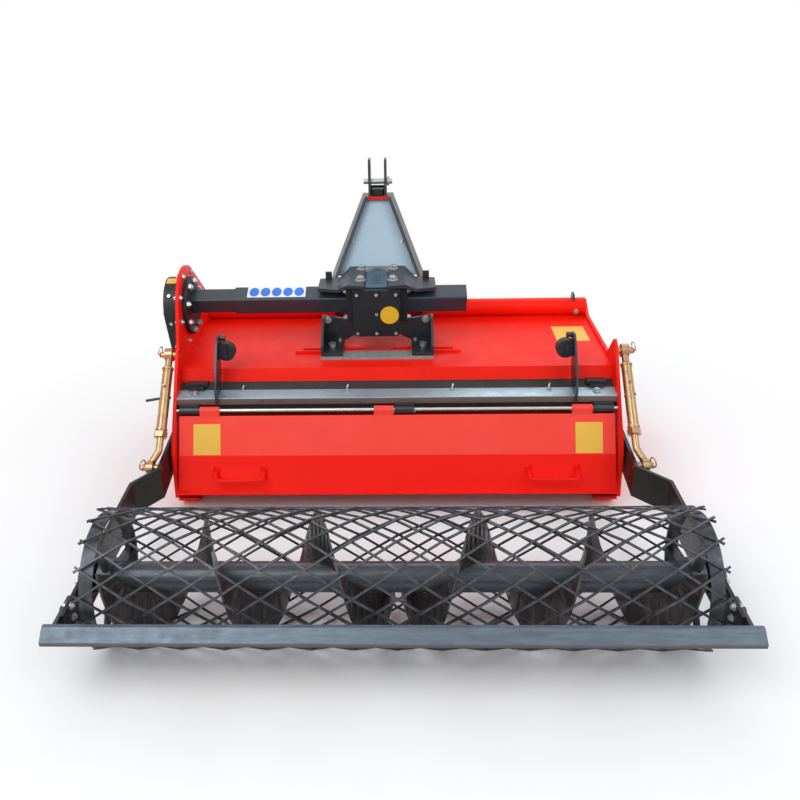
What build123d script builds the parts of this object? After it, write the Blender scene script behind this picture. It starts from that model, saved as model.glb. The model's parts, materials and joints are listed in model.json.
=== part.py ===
from build123d import *
import math
import os

os.makedirs("parts", exist_ok=True)

# Stone burier for a tractor's three-point hitch, in millimetres.
# The roller with its scraper stands a little to the right of the body, as ROLLER_OFF_X says.
# X runs to the right as seen from behind, Y forward to the tractor and Z up from the floor.
# Places along Y are written from the cage roller's axis; the last step moves them to the machine's middle.

# Body
PLATE_INSIDE = 645.0        # half the width between the side plates
PLATE_T = 10.0
SHEET_T = 6.0
DECK_Z = 372.0
DECK_REAR_Y = 709.0
DECK_FRONT_Y = 1125.0
DECK_DROP = 36.0
FRONT_TUBE_Y = 1125.0
FRONT_TUBE_Z = 402.5
FRONT_TUBE_R = 28.0
FRONT_SHEET_BOTTOM_Z = 290.0
SKID_W = 60.0
SKID_T = 8.0
SKID_REAR_Y = 560.0
SKID_FRONT_Y = 1110.0
BEAM_REAR_Y = 614.0
BEAM_FRONT_Y = 663.0
BEAM_TOP_Z = 324.0
BEAM_FOLD_Z = 319.0
BEAM_FOOT_Y = 611.0
BEAM_FOOT_Z = 300.0
BEAM_T = 5.0
STRIP_T = 5.0
SEAL_Y = 617.5
SEAL_T = 4.0
SEAL_BOTTOM_Z = 277.0
GUIDE_REAR_Y = 815.0
GUIDE_W = 30.0
GUIDE_T = 8.0
GUIDE_HALF = 258.0
STOP_X = 524.0
STOP_T = 6.0
BUFFER_X = 507.0
BUFFER_Z = 434.0
BUFFER_R = 28.0
BUFFER_L = 24.0
TAB_Y = 684.0
TAB_T = 6.0
COMB_BAR_W = 40.0
COMB_FROM = 150.0
COMB_TO = 218.0
COMB_FINGERS = 27
COMB_GAP = 20.0
FINGER_W = 8.0
FINGER_DEEP = 18.0

# Rotor and its drive
ROTOR_Y = 950.0
ROTOR_Z = 180.0
ROTOR_R = 160.0
ROTOR_TUBE_R = 45.0
ROTOR_SHAFT_R = 20.0
ROTOR_FLANGE_R = 95.0
ROTOR_FLANGE_T = 10.0
ROTOR_FLANGES = 7
BLADES_A_FLANGE = 4
BLADE_W = 46.0
BLADE_T = 8.0
BLADE_FOOT = 55.0
BEARING_R = 48.0
BEARING_T = 26.0
BEARING_FLANGE_R = 64.0
BEARING_FLANGE_T = 10.0
ROTOR_END_GAP = 34.0
FLANGE_END_GAP = 75.0
DRIVE_Y = 890.0
DRIVE_Z = 522.0
CASE_T = 47.0
CASE_TOP_R = 90.0
CASE_BOTTOM_R = 74.0
LOBE_R = 125.0
RAIL_ACROSS = 54.0
RAIL_RIGHT_X = -240.0
RAIL_GAP = 0.5
SLEEVE_ACROSS = 61.0
SLEEVE_LEFT_X = -497.0
SLEEVE_RIGHT_X = 214.0
TUBE_TILT = 22.5
TUBE_ROUND = 0.08
FLANGE_R = 90.0
FLANGE_T = 14.0
FLANGE_BOLTS = 8
FLANGE_BOLT_IN = 14.0
FLANGE_BOLT_R = 8.0
CASE_RIM_W = 10.0
CASE_RIM_T = 8.0
LOBE_BACK = 4.0              # the lobe's centre behind and below the drive tube's axis
LOBE_DROP = 12.0

# Headstock
HEAD_X = -54.0
GEARBOX_W = 142.0
GEARBOX_REAR = 102.0         # gearbox's faces from the drive tube's axis
GEARBOX_FRONT = 80.0
GEARBOX_BELOW = 84.0
GEARBOX_ABOVE = 65.0
GEARBOX_FILLET = 14.0
GEARBOX_BOSS_R = 42.0
COVER_T = 12.0
COVER_BOLT_IN = 13.0
COVER_BOLT_R = 9.0
COVER_BOLT_L = 7.0
SIDE_FLANGE_T = 22.0
SIDE_FLANGE_W = 108.0
PTO_R = 17.4
PTO_FREE = 75.0
PTO_REACH = 145.0            # input shaft's end in front of the gearbox
PTO_SHANK_R = 20.0
GUARD_R = 60.0
GUARD_T = 3.0
GUARD_L = 110.0
SHIFT_TRAVEL = 80.0
FOOT_Y = 830.0
FOOT_HALF = 142.0
FOOT_BOLT_R = 7.0
FOOT_W = 66.0
FOOT_T = 10.0
FOOT_REAR_Y = 772.0
CARRIER_HALF = 173.0
CARRIER_WALL_T = 8.0
CARRIER_TOP_Z = 472.0
WEB_BACK = 10.0              # carrier's web behind the drive tube's axis
MAST_TOP_Y = 1200.0
MAST_TOP_Z = 775.0
EAR_GAP = 44.0
EAR_T = 8.0
EAR_H = 115.0
EAR_CORNER = 14.0
EAR_BACK_T = 10.0
EAR_BACK_H = 24.0
TOP_HOLE_DROP = 24.0
EAR_W = 62.0
TOP_PIN_R = 9.5
TOP_PIN_DROP = 48.0
TOP_HOLE_R = 10.0
WING_T = 10.0
WING_STEP = 25.0
HITCH_PIN_R = 11.0
HITCH_PIN_FREE = 55.0
HITCH_HALF = 300.0
HITCH_Y = 1200.0
HITCH_Z = 372.0
HITCH_BAR = 50.0
CHEEK_T = 12.0
CHEEK_HALF = 140.0
CHEEK_FRONT = 45.0
CHEEK_REAR = 42.0            # cheeks' rear edge in front of the drive tube's axis

# Rear flap
HINGE_Y = 600.0
HINGE_Z = 287.0
HINGE_R = 5.0
KNUCKLE_R = 11.5
KNUCKLE_L = 58.0
FLAP_HALF = 638.0
FLAP_T = 5.0
FLAP_BEND_Y = 535.0
FLAP_BEND_Z = 171.0
FLAP_FOOT_Y = 479.0
FLAP_FOOT_Z = 88.0
HANDLE_R = 6.0
HANDLE_X = 454.0
HANDLE_HALF = 70.0
HANDLE_OUT = 46.0

# Cage roller and its arms
ROLLER_Z = 165.0
ROLLER_OFF_X = 8.0
CAGE_R = 165.0
CAGE_HALF = 704.0
CAGE_AROUND = 16
CAGE_ALONG = 14
CAGE_LONG = 99.0
STRAND_W = 5.0
STRAND_T = 4.0
LAYER_GAP = 0.3
ROLLER_TUBE_R = 36.0
ROLLER_TUBE_GAP = 26.0
STUB_R = 17.5
FLIGHT_PITCH = 263.5
FLIGHT_T = 5.0
FLIGHT_START_X = 10.0
FLIGHT_START_TURN = 300.0
FLIGHT_END_X = 655.0
FLIGHT_STEPS_A_TURN = 20
HOOP_X = 678.0
HOOP_W = 30.0
HOOP_T = 6.0
SPOKES = 3
ARM_T = 10.0
ARM_H = 98.0
ARM_GAP = 5.0
ARM_OUT = 66.0
ARM_BEND_FRONT_Y = 420.0
ARM_BEND_REAR_Y = 350.0
ARM_REAR_Y = -160.0
PIVOT_Y = 740.0
PIVOT_Z = 200.0
PIVOT_R = 12.0
SCRAPER_Y = -206.0
SCRAPER_Z = 178.0
SCRAPER_OVERHANG = 26.0

# Depth adjusters
ADJ_UP_Y = 707.0
ADJ_UP_Z = 420.0
ADJ_LOW_Y = 440.0
ADJ_LOW_Z = 190.0
ADJ_PIN_R = 9.5
ADJ_EYE_R = 20.0
ADJ_EYE_W = 22.0
ADJ_BARREL_R = 15.0
ADJ_ROD_R = 10.0
ADJ_BARREL_END = 248.0
ADJ_NUT_W = 34.0
ADJ_SLACK = 2.5
ADJ_EYE_X = 693.0
ADJ_ARM_GAP = 5.0

FIT = 0.05                  # radial clearance of a running fit
SEAT = 0.3                  # gap between a piece and the one that it rests in

PLATE_OUTSIDE = PLATE_INSIDE + PLATE_T
COMB_R = ROTOR_R + COMB_GAP
ROTOR_END = PLATE_INSIDE - ROTOR_END_GAP
FLANGE_REACH = ROTOR_END - FLANGE_END_GAP
FLANGE_PLACES = [-FLANGE_REACH + 2 * FLANGE_REACH * i / (ROTOR_FLANGES - 1) for i in range(ROTOR_FLANGES)]
FOOT_X = (HEAD_X - FOOT_HALF, HEAD_X + FOOT_HALF)
FOOT_BOTTOM_Z = DECK_Z + GUIDE_T
FOOT_TOP_Z = FOOT_BOTTOM_Z + FOOT_T
LOBE_Y = DRIVE_Y - LOBE_BACK
LOBE_Z = DRIVE_Z - LOBE_DROP
GEARBOX_REAR_Y = DRIVE_Y - GEARBOX_REAR
GEARBOX_FRONT_Y = DRIVE_Y + GEARBOX_FRONT
GEARBOX_BOTTOM_Z = DRIVE_Z - GEARBOX_BELOW
GEARBOX_TOP_Z = DRIVE_Z + GEARBOX_ABOVE
PTO_TIP_Y = GEARBOX_FRONT_Y + PTO_REACH
WEB_Y = DRIVE_Y - WEB_BACK
CHEEK_REAR_Y = DRIVE_Y + CHEEK_REAR
WING_Z = GEARBOX_TOP_Z - WING_STEP
EAR_TIP_Z = MAST_TOP_Z + EAR_H
TOP_HOLE_Z = EAR_TIP_Z - TOP_HOLE_DROP
INNER_LAYER_R = CAGE_R - 2 * STRAND_T - LAYER_GAP
CHORD = math.cos(math.pi / CAGE_AROUND)
CORE_R = INNER_LAYER_R * CHORD - SEAT
ARM_INNER_FRONT = PLATE_OUTSIDE + ARM_GAP
ARM_INNER_REAR = ARM_INNER_FRONT + ARM_OUT
ARM_OUTER = ARM_INNER_REAR + ARM_T
ROLLER_TUBE_HALF = ARM_INNER_REAR - ROLLER_TUBE_GAP
SCRAPER_HALF = ARM_OUTER + SCRAPER_OVERHANG
ADJ_X = ARM_INNER_FRONT + ARM_T + ADJ_ARM_GAP
ADJ_LENGTH = math.hypot(ADJ_UP_Y - ADJ_LOW_Y, ADJ_UP_Z - ADJ_LOW_Z)
SLEEVE_WALL_IN = RAIL_ACROSS / 2 + RAIL_GAP
SCRAPER_REAR_Y = SCRAPER_Y - 14.0
HITCH_FRONT_Y = MAST_TOP_Y + EAR_W / 2
MIDDLE_Y = (SCRAPER_REAR_Y + HITCH_FRONT_Y) / 2


def keep(name, shape):
    """Write one node, moved so that the machine's middle is at the origin."""
    export_step(Pos(0, -MIDDLE_Y, 0) * shape, "parts/" + name + ".step")


def block(x0, x1, y0, y1, z0, z1):
    """A block between two corners."""
    return Pos((x0 + x1) / 2, (y0 + y1) / 2, (z0 + z1) / 2) * Box(x1 - x0, y1 - y0, z1 - z0)


def round_x(x0, x1, y, z, r):
    """A round bar along X."""
    return Pos((x0 + x1) / 2, y, z) * Rot(0, 90, 0) * Cylinder(r, x1 - x0)


def round_y(x, y0, y1, z, r):
    """A round bar along Y."""
    return Pos(x, (y0 + y1) / 2, z) * Rot(90, 0, 0) * Cylinder(r, y1 - y0)


def round_z(x, y, z0, z1, r):
    """A round bar along Z."""
    return Pos(x, y, (z0 + z1) / 2) * Cylinder(r, z1 - z0)


def outline(points):
    """A flat face from its corners."""
    return make_face(Polyline(*points, close=True))


def plate_x(face, x0, thick):
    """A plate across X: the face's first coordinate runs along Y and its second along Z."""
    return extrude(Plane.YZ.offset(x0) * face, amount=thick)


def plate_z(face, z0, thick):
    """A flat plate: the face's coordinates are X and Y."""
    return extrude(Plane.XY.offset(z0) * face, amount=thick)


def strip_points(points, thick):
    """Corners of a strip of even thickness along a bent line, on the line's left side."""
    normals = []
    for a, b in zip(points, points[1:]):
        length = math.dist(a, b)
        normals.append((-(b[1] - a[1]) / length, (b[0] - a[0]) / length))
    far = []
    for i, point in enumerate(points):
        n0 = normals[max(i - 1, 0)]
        n1 = normals[min(i, len(normals) - 1)]
        share = thick / (1 + n0[0] * n1[0] + n0[1] * n1[1])
        far.append((point[0] + (n0[0] + n1[0]) * share, point[1] + (n0[1] + n1[1]) * share))
    return list(points) + far[::-1]


def turned_square(across):
    """A square whose top slopes down to the rear."""
    return RectangleRounded(across, across, across * TUBE_ROUND, rotation=TUBE_TILT)


def mirrored(shape):
    return mirror(shape, about=Plane.YZ)


def together(shapes):
    """Like pieces on one body as one node."""
    return Compound([solid for shape in shapes for solid in shape.solids()])


def both_sides(shape):
    """A shape with its mirror image, as one node."""
    return together([shape, mirrored(shape)])


# The skid's sole, from its turned-up heel to its turned-up toe
SOLE = [(SKID_REAR_Y - 40, 22), (SKID_REAR_Y, 0), (SKID_FRONT_Y, 0), (1186, 90)]
SKID_SIDE = strip_points(SOLE, SKID_T)
SKID_TOP = SKID_SIDE[:len(SOLE) - 1:-1]

# Side plates: the outline runs from the adjuster's ear down the rear edge, along the skid and up the front
PLATE_OUTLINE = [
    (ADJ_UP_Y + 22, ADJ_UP_Z + 28),
    (ADJ_UP_Y - 6, ADJ_UP_Z + 14),
    (520, 194),
    (493, 51),
    *SKID_TOP,
    (1186, DECK_Z + 20),
    (1150, DECK_Z + 46),
    (FRONT_TUBE_Y - 40, DECK_Z + 10),
    (ADJ_UP_Y + 76, DECK_Z + 10),
]

# Corners of the left plate's shoulder under the lobe
LOBE_SHOULDER = [(705, DECK_Z + 8), (1180, DECK_Z + 8), (1180, DECK_Z + 52), (712, DECK_Z + 60)]


def side_plate():
    """The right-hand plate, with holes for the rotor, the arm's pivot and the adjuster's pin."""
    plate = plate_x(outline(PLATE_OUTLINE), PLATE_INSIDE, PLATE_T)
    plate -= round_x(PLATE_INSIDE - 1, PLATE_OUTSIDE + 1, ROTOR_Y, ROTOR_Z, ROTOR_SHAFT_R + 8)
    plate -= round_x(PLATE_INSIDE - 1, PLATE_OUTSIDE + 1, PIVOT_Y, PIVOT_Z, PIVOT_R + FIT)
    plate -= round_x(PLATE_INSIDE - 1, PLATE_OUTSIDE + 1, ADJ_UP_Y, ADJ_UP_Z, ADJ_PIN_R + FIT)
    return plate


def left_plate():
    """The left-hand plate rises into a round lobe that carries the drive tube's flange."""
    shoulder = Polyline(*LOBE_SHOULDER, close=True)
    lobe = plate_x(make_hull((Pos(LOBE_Y, LOBE_Z) * Circle(LOBE_R)).edges() + shoulder.edges()),
                   -PLATE_OUTSIDE, PLATE_T)
    plate = mirrored(side_plate()) + lobe
    plate -= round_x(-PLATE_OUTSIDE - 1, -PLATE_INSIDE + 1, DRIVE_Y, DRIVE_Z, RAIL_ACROSS / 2 - 6)
    plate -= round_x(-PLATE_OUTSIDE - 1, -PLATE_INSIDE + 1, ADJ_UP_Y, ADJ_UP_Z, ADJ_PIN_R + FIT)
    return plate


def skid():
    """A flat shoe under the plate, turned up in front."""
    return plate_x(outline(SKID_SIDE), PLATE_OUTSIDE - SKID_W, SKID_W)


def foot_slot():
    """Slot in which a foot's bolt travels."""
    return SlotOverall(2 * (SHIFT_TRAVEL + FOOT_BOLT_R + 6), 2 * (FOOT_BOLT_R + 1))


def hood():
    """Deck with its drops at the rear and the front, as one bent sheet."""
    line = [
        (DECK_REAR_Y - 17, DECK_Z - DECK_DROP),
        (DECK_REAR_Y, DECK_Z),
        (DECK_FRONT_Y, DECK_Z),
        (DECK_FRONT_Y + 14, FRONT_SHEET_BOTTOM_Z),
    ]
    # the line runs clockwise as seen from the right, so the thickness goes inwards with a minus sign
    sheet = plate_x(outline(strip_points(line, -SHEET_T)), -PLATE_INSIDE, 2 * PLATE_INSIDE)
    for foot_x in FOOT_X:
        sheet -= plate_z(Pos(foot_x, FOOT_Y) * foot_slot(), DECK_Z - 2 * SHEET_T, 3 * SHEET_T)
    sheet -= round_x(-PLATE_INSIDE - 1, PLATE_INSIDE + 1, FRONT_TUBE_Y, FRONT_TUBE_Z, FRONT_TUBE_R + SEAT)
    return sheet


def rear_beam():
    """Galvanised angle across the rear: a top face and a rear face."""
    line = [(BEAM_FRONT_Y, BEAM_TOP_Z), (BEAM_REAR_Y, BEAM_FOLD_Z), (BEAM_FOOT_Y, BEAM_FOOT_Z)]
    return plate_x(outline(strip_points(line, BEAM_T)), -PLATE_INSIDE, 2 * PLATE_INSIDE)


def rubber_strip():
    """Black strip that closes the gap between the hood's rear drop and the beam."""
    line = [(DECK_REAR_Y - 17, DECK_Z - DECK_DROP - SEAT), (BEAM_FRONT_Y + SEAT, BEAM_TOP_Z)]
    return plate_x(outline(strip_points(line, STRIP_T)), -PLATE_INSIDE, 2 * PLATE_INSIDE)


def beam_seal():
    """Black strip that hangs from the beam behind the hinge."""
    return block(-PLATE_INSIDE, PLATE_INSIDE, SEAL_Y, SEAL_Y + SEAL_T, SEAL_BOTTOM_Z, BEAM_FOOT_Z + 4)


def guide_rail():
    """Flat bar on the deck, on which the headstock's feet slide, with a slot for each foot's bolt."""
    middle_y = GUIDE_REAR_Y + GUIDE_W / 2
    bar = block(HEAD_X - GUIDE_HALF, HEAD_X + GUIDE_HALF, GUIDE_REAR_Y, GUIDE_REAR_Y + GUIDE_W, DECK_Z,
                FOOT_BOTTOM_Z)
    for foot_x in FOOT_X:
        bar -= plate_z(Pos(foot_x, middle_y) * foot_slot(), DECK_Z - 1, GUIDE_T + 2)
    return bar


def comb():
    """Sieve behind the rotor: bent fingers that hang from a bar between the side plates."""
    ring = Circle(COMB_R + FINGER_DEEP) - Circle(COMB_R)
    far = 3 * COMB_R
    a0, a1 = math.radians(COMB_FROM), math.radians(COMB_TO)
    wedge = outline([(0, 0), (far * math.cos(a0), far * math.sin(a0)),
                     (-far, 0), (far * math.cos(a1), far * math.sin(a1))])
    band = Pos(ROTOR_Y, ROTOR_Z) * (ring & wedge)
    pitch = 2 * PLATE_INSIDE / (COMB_FINGERS + 1)
    fingers = []
    for i in range(COMB_FINGERS):
        x = -PLATE_INSIDE + pitch * (i + 1)
        fingers.append(plate_x(band, x - FINGER_W / 2, FINGER_W))
    return together(fingers)


def comb_bar():
    """Flat bar behind the fingers' tops."""
    middle = math.radians(COMB_FROM + 5)
    r = COMB_R + FINGER_DEEP + SEAT
    plane = Plane(origin=(0, ROTOR_Y + r * math.cos(middle), ROTOR_Z + r * math.sin(middle)),
                  x_dir=(1, 0, 0), z_dir=(0, math.cos(middle), math.sin(middle)))
    return plane * Pos(0, 0, 5) * Box(2 * PLATE_INSIDE, COMB_BAR_W, 10)


def rail():
    """Tube from the left plate, square outside and round inside, on which the headstock's sleeve slides."""
    return extrude(Plane.YZ.offset(-PLATE_INSIDE) * Pos(DRIVE_Y, DRIVE_Z) * (
        turned_square(RAIL_ACROSS) - Circle(RAIL_ACROSS / 2 - 6)), amount=RAIL_RIGHT_X + PLATE_INSIDE)


def rail_flange():
    """Round flange with its bolts, welded round the rail and bolted to the lobe."""
    ring = Pos(LOBE_Y, LOBE_Z) * Circle(FLANGE_R) - Pos(DRIVE_Y, DRIVE_Z) * turned_square(RAIL_ACROSS)
    flange = plate_x(ring, -PLATE_INSIDE, FLANGE_T)
    bolts = []
    for i in range(FLANGE_BOLTS):
        a = 2 * math.pi * (i + 0.5) / FLANGE_BOLTS
        y = LOBE_Y + (FLANGE_R - FLANGE_BOLT_IN) * math.cos(a)
        z = LOBE_Z + (FLANGE_R - FLANGE_BOLT_IN) * math.sin(a)
        bolts.append(round_x(-PLATE_INSIDE + FLANGE_T, -PLATE_INSIDE + FLANGE_T + 8, y, z, FLANGE_BOLT_R))
    return flange + bolts


def chain_case():
    """Chain case outside the left plate, from the drive shaft down to the rotor."""
    hull = make_hull((Pos(LOBE_Y, LOBE_Z) * Circle(CASE_TOP_R)).edges()
                     + (Pos(ROTOR_Y, ROTOR_Z) * Circle(CASE_BOTTOM_R)).edges())
    case = plate_x(hull, -PLATE_OUTSIDE - CASE_T, CASE_T)
    rim = plate_x(offset(hull, amount=CASE_RIM_W), -PLATE_OUTSIDE - CASE_RIM_T, CASE_RIM_T)
    case = case + rim
    case -= round_x(-PLATE_OUTSIDE - 22, -PLATE_OUTSIDE + 1, ROTOR_Y, ROTOR_Z, ROTOR_SHAFT_R + 6)
    return case


def rotor_bearings():
    """Flanged bearing housings on the inside of the side plates."""
    housing = round_x(PLATE_INSIDE - BEARING_T, PLATE_INSIDE, ROTOR_Y, ROTOR_Z, BEARING_R)
    housing += round_x(PLATE_INSIDE - BEARING_FLANGE_T, PLATE_INSIDE, ROTOR_Y, ROTOR_Z, BEARING_FLANGE_R)
    housing -= round_x(PLATE_INSIDE - BEARING_T - 1, PLATE_INSIDE + 1, ROTOR_Y, ROTOR_Z, ROTOR_SHAFT_R + FIT)
    return both_sides(housing)


def rotor_shaft():
    """Rotor tube with its stub shafts and blade flanges."""
    shaft = round_x(-ROTOR_END, ROTOR_END, ROTOR_Y, ROTOR_Z, ROTOR_TUBE_R)
    shaft += round_x(-PLATE_OUTSIDE - 14, PLATE_OUTSIDE + 4, ROTOR_Y, ROTOR_Z, ROTOR_SHAFT_R)
    for x in FLANGE_PLACES:
        shaft += round_x(x - ROTOR_FLANGE_T / 2, x + ROTOR_FLANGE_T / 2, ROTOR_Y, ROTOR_Z, ROTOR_FLANGE_R)
    return shaft


def rotor_blades():
    """L-shaped blades bolted to the flanges, turned to the left and right by turns."""
    reach = ROTOR_R - 2.2
    foot = Pos(BLADE_FOOT / 2 - BLADE_T / 2, reach - BLADE_T / 2, 0) * Box(BLADE_FOOT, BLADE_T, BLADE_W)
    leg = Pos(0, reach - (ROTOR_R - 60) / 2, 0) * Box(BLADE_T, ROTOR_R - 60, BLADE_W)
    blade = leg + foot
    limit = Rot(0, 90, 0) * Cylinder(ROTOR_R, 4 * BLADE_FOOT)
    blade = blade & limit
    blades = []
    for i, x in enumerate(FLANGE_PLACES):
        for k in range(BLADES_A_FLANGE):
            side = 1 if k % 2 == 0 else -1
            off = side * (ROTOR_FLANGE_T + BLADE_T) / 2
            one = blade if side > 0 else mirrored(blade)
            turn = 360.0 * k / BLADES_A_FLANGE + 27.0 * i
            blades.append(Pos(x + off, ROTOR_Y, ROTOR_Z) * Rot(turn, 0, 0) * one)
    return together(blades)


def sleeve():
    """Square tube that slides on the rail and runs into the gearbox, with a short tube to its right."""
    left_end = HEAD_X - GEARBOX_W / 2 - SIDE_FLANGE_T
    ring = turned_square(SLEEVE_ACROSS) - turned_square(2 * SLEEVE_WALL_IN)
    left = extrude(Plane.YZ.offset(SLEEVE_LEFT_X) * Pos(DRIVE_Y, DRIVE_Z) * ring,
                   amount=left_end - SLEEVE_LEFT_X)
    right_start = HEAD_X + GEARBOX_W / 2 + SIDE_FLANGE_T
    full = turned_square(SLEEVE_ACROSS) - Circle(SLEEVE_ACROSS / 2 - 7)
    right = extrude(Plane.YZ.offset(right_start) * Pos(DRIVE_Y, DRIVE_Z) * full,
                    amount=SLEEVE_RIGHT_X - right_start)
    right += extrude(Plane.YZ.offset(SLEEVE_RIGHT_X) * Pos(DRIVE_Y, DRIVE_Z) * turned_square(SLEEVE_ACROSS),
                     amount=8)
    return together([left, right])


def gearbox():
    """Cast bevel gearbox with side flanges and a front boss for the input shaft."""
    x0, x1 = HEAD_X - GEARBOX_W / 2, HEAD_X + GEARBOX_W / 2
    body = block(x0, x1, GEARBOX_REAR_Y + COVER_T, GEARBOX_FRONT_Y, GEARBOX_BOTTOM_Z, GEARBOX_TOP_Z)
    body = fillet(body.edges().filter_by(Axis.X), GEARBOX_FILLET)
    body += round_y(HEAD_X, GEARBOX_FRONT_Y - 4, GEARBOX_FRONT_Y + 6, DRIVE_Z, GEARBOX_BOSS_R)
    for side in (-1, 1):
        x = HEAD_X + side * (GEARBOX_W + SIDE_FLANGE_T) / 2
        body += Pos(x, DRIVE_Y, DRIVE_Z) * Box(SIDE_FLANGE_T, SIDE_FLANGE_W, SIDE_FLANGE_W)
    body -= round_y(HEAD_X, GEARBOX_FRONT_Y - 40, GEARBOX_FRONT_Y + 20, DRIVE_Z, PTO_SHANK_R + FIT)
    return body


def gearbox_cover():
    """Square rear cover with its bolts."""
    face = RectangleRounded(GEARBOX_W - 1, GEARBOX_TOP_Z - GEARBOX_BOTTOM_Z - 2, 12)
    plane = Plane(origin=(HEAD_X, GEARBOX_REAR_Y, (GEARBOX_TOP_Z + GEARBOX_BOTTOM_Z) / 2),
                  x_dir=(1, 0, 0), z_dir=(0, -1, 0))
    cover = extrude(plane * face, amount=-COVER_T)
    # bolt columns: x share, z share of the half sizes
    for sx, sz in ((-1, 1), (0, 1), (1, 1), (0, 0), (-1, -1), (0, -1), (1, -1)):
        x = HEAD_X + sx * (GEARBOX_W / 2 - COVER_BOLT_IN)
        z = (GEARBOX_TOP_Z + GEARBOX_BOTTOM_Z) / 2 + sz * ((GEARBOX_TOP_Z - GEARBOX_BOTTOM_Z) / 2 - COVER_BOLT_IN)
        cover += round_y(x, GEARBOX_REAR_Y - COVER_BOLT_L, GEARBOX_REAR_Y, z, COVER_BOLT_R)
    return cover


# Half of the carrier's web, from its middle outwards: distance from the gearbox's middle and height
WEB_HALF = [(0, 412), (60, 412), (CARRIER_HALF - FOOT_W, FOOT_TOP_Z - 2), (CARRIER_HALF, FOOT_TOP_Z - 2),
            (CARRIER_HALF, CARRIER_TOP_Z), (100, 460), (72, 460), (72, 436), (0, 436)]


def carrier_bracket():
    """Two feet on a zinc-coloured flat, side plates and a web that runs under the gearbox."""
    half = outline([(x, z) for x, z in WEB_HALF])
    plane = Plane(origin=(HEAD_X, WEB_Y, 0), x_dir=(1, 0, 0), z_dir=(0, -1, 0))
    web = extrude(plane * half, amount=-FOOT_T)
    solid = web + Pos(HEAD_X, 0, 0) * mirrored(Pos(-HEAD_X, 0, 0) * web)
    for side in (-1, 1):
        x_out = HEAD_X + side * CARRIER_HALF
        x_in = x_out - side * FOOT_W
        solid += block(min(x_in, x_out), max(x_in, x_out), FOOT_REAR_Y, WEB_Y + FOOT_T, FOOT_BOTTOM_Z,
                       FOOT_TOP_Z)
        wall = outline([(FOOT_REAR_Y, FOOT_TOP_Z - 2), (WEB_Y, FOOT_TOP_Z - 2), (WEB_Y, CARRIER_TOP_Z),
                        (WEB_Y - 26, CARRIER_TOP_Z), (FOOT_REAR_Y, FOOT_TOP_Z + 22)])
        solid += plate_x(wall, min(x_out, x_out - side * CARRIER_WALL_T), CARRIER_WALL_T)
    for foot_x in FOOT_X:
        solid -= round_z(foot_x, FOOT_Y, DECK_Z, DECK_Z + 40, FOOT_BOLT_R + SEAT)
    return solid


def carrier_flat():
    """Zinc-plated flat bar between the feet and the deck, behind the guide rail."""
    return block(HEAD_X - CARRIER_HALF, HEAD_X + CARRIER_HALF, FOOT_REAR_Y - 8, GUIDE_REAR_Y - 1, DECK_Z,
                 FOOT_BOTTOM_Z)


def foot_bolts():
    """Bolts that clamp the carrier's feet through the deck's slots."""
    bolts = []
    for foot_x in FOOT_X:
        bolt = round_z(foot_x, FOOT_Y, DECK_Z - SHEET_T - 10, FOOT_TOP_Z, FOOT_BOLT_R)
        bolt += round_z(foot_x, FOOT_Y, FOOT_TOP_Z, FOOT_TOP_Z + 10, 12)
        bolt += round_z(foot_x, FOOT_Y, DECK_Z - SHEET_T - 12, DECK_Z - SHEET_T - SEAT, 12)
        bolts.append(bolt)
    return together(bolts)


# Half of a wing from above: distance from the gearbox's middle and from the drive tube's axis
WING_INNER = [(36, -98), (86, -84), (86, 96), (36, 100)]
WING_OUTER = [(118, -52), (180, -38), (180, 54), (118, 68)]
WING_BOLTS = (-39, 70)
WING_BOLT_X = 49
WING_LUG = (142, 162, 44, 52, 24)


def wings():
    """Two formed plates on the gearbox: a flat part, a slope down and a lower flat part with a lug."""
    halves = []
    top, low = GEARBOX_TOP_Z, WING_Z
    inner = plate_z(outline([(HEAD_X + x, DRIVE_Y + y) for x, y in WING_INNER]), top, WING_T)
    outer = plate_z(outline([(HEAD_X + x, DRIVE_Y + y) for x, y in WING_OUTER]), low, WING_T)
    sections = []
    for (x, rear), (_, front), z in ((WING_INNER[1], WING_INNER[2], top),
                                     (WING_OUTER[0], WING_OUTER[3], low)):
        corners = [(rear, z), (front, z), (front, z + WING_T), (rear, z + WING_T)]
        sections.append([Vector(HEAD_X + x, DRIVE_Y + y, at_z) for y, at_z in corners])
    slope = closed_bar(sections)
    wing = inner + slope + outer
    for y in WING_BOLTS:
        wing += round_z(HEAD_X + WING_BOLT_X, DRIVE_Y + y, top + WING_T, top + WING_T + 9, 11)
    x0, x1, y0, y1, lug_h = WING_LUG
    wing += block(HEAD_X + x0, HEAD_X + x1, DRIVE_Y + y0, DRIVE_Y + y1, low + WING_T, low + WING_T + lug_h)
    return together([wing, Pos(HEAD_X, 0, 0) * mirrored(Pos(-HEAD_X, 0, 0) * wing)])


# Mast plate at its foot and head: inner and outer distance from the middle, rear and front place along Y
MAST_FOOT = (128, 139, DRIVE_Y + 72, DRIVE_Y + 146, WING_Z)
MAST_HEAD = (31, 42, MAST_TOP_Y - 35, MAST_TOP_Y + 25, MAST_TOP_Z)
MAST_SPLAY = 8


def mast_section(row, side):
    near, away, rear, front, z = row
    corners = [(near, rear), (away, rear), (away + MAST_SPLAY, front), (near + MAST_SPLAY, front)]
    return [Vector(HEAD_X + side * x, y, z) for x, y in corners]


def mast():
    """Two plates that lean forward and close in to a head plate under the top-link ears."""
    solid = block(HEAD_X - 38, HEAD_X + 38, MAST_TOP_Y - EAR_W / 2, MAST_TOP_Y + EAR_W / 2 - 8,
                  MAST_TOP_Z - 10, MAST_TOP_Z)
    for side in (-1, 1):
        solid += closed_bar([mast_section(MAST_FOOT, side), mast_section(MAST_HEAD, side)])
    return solid


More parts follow.
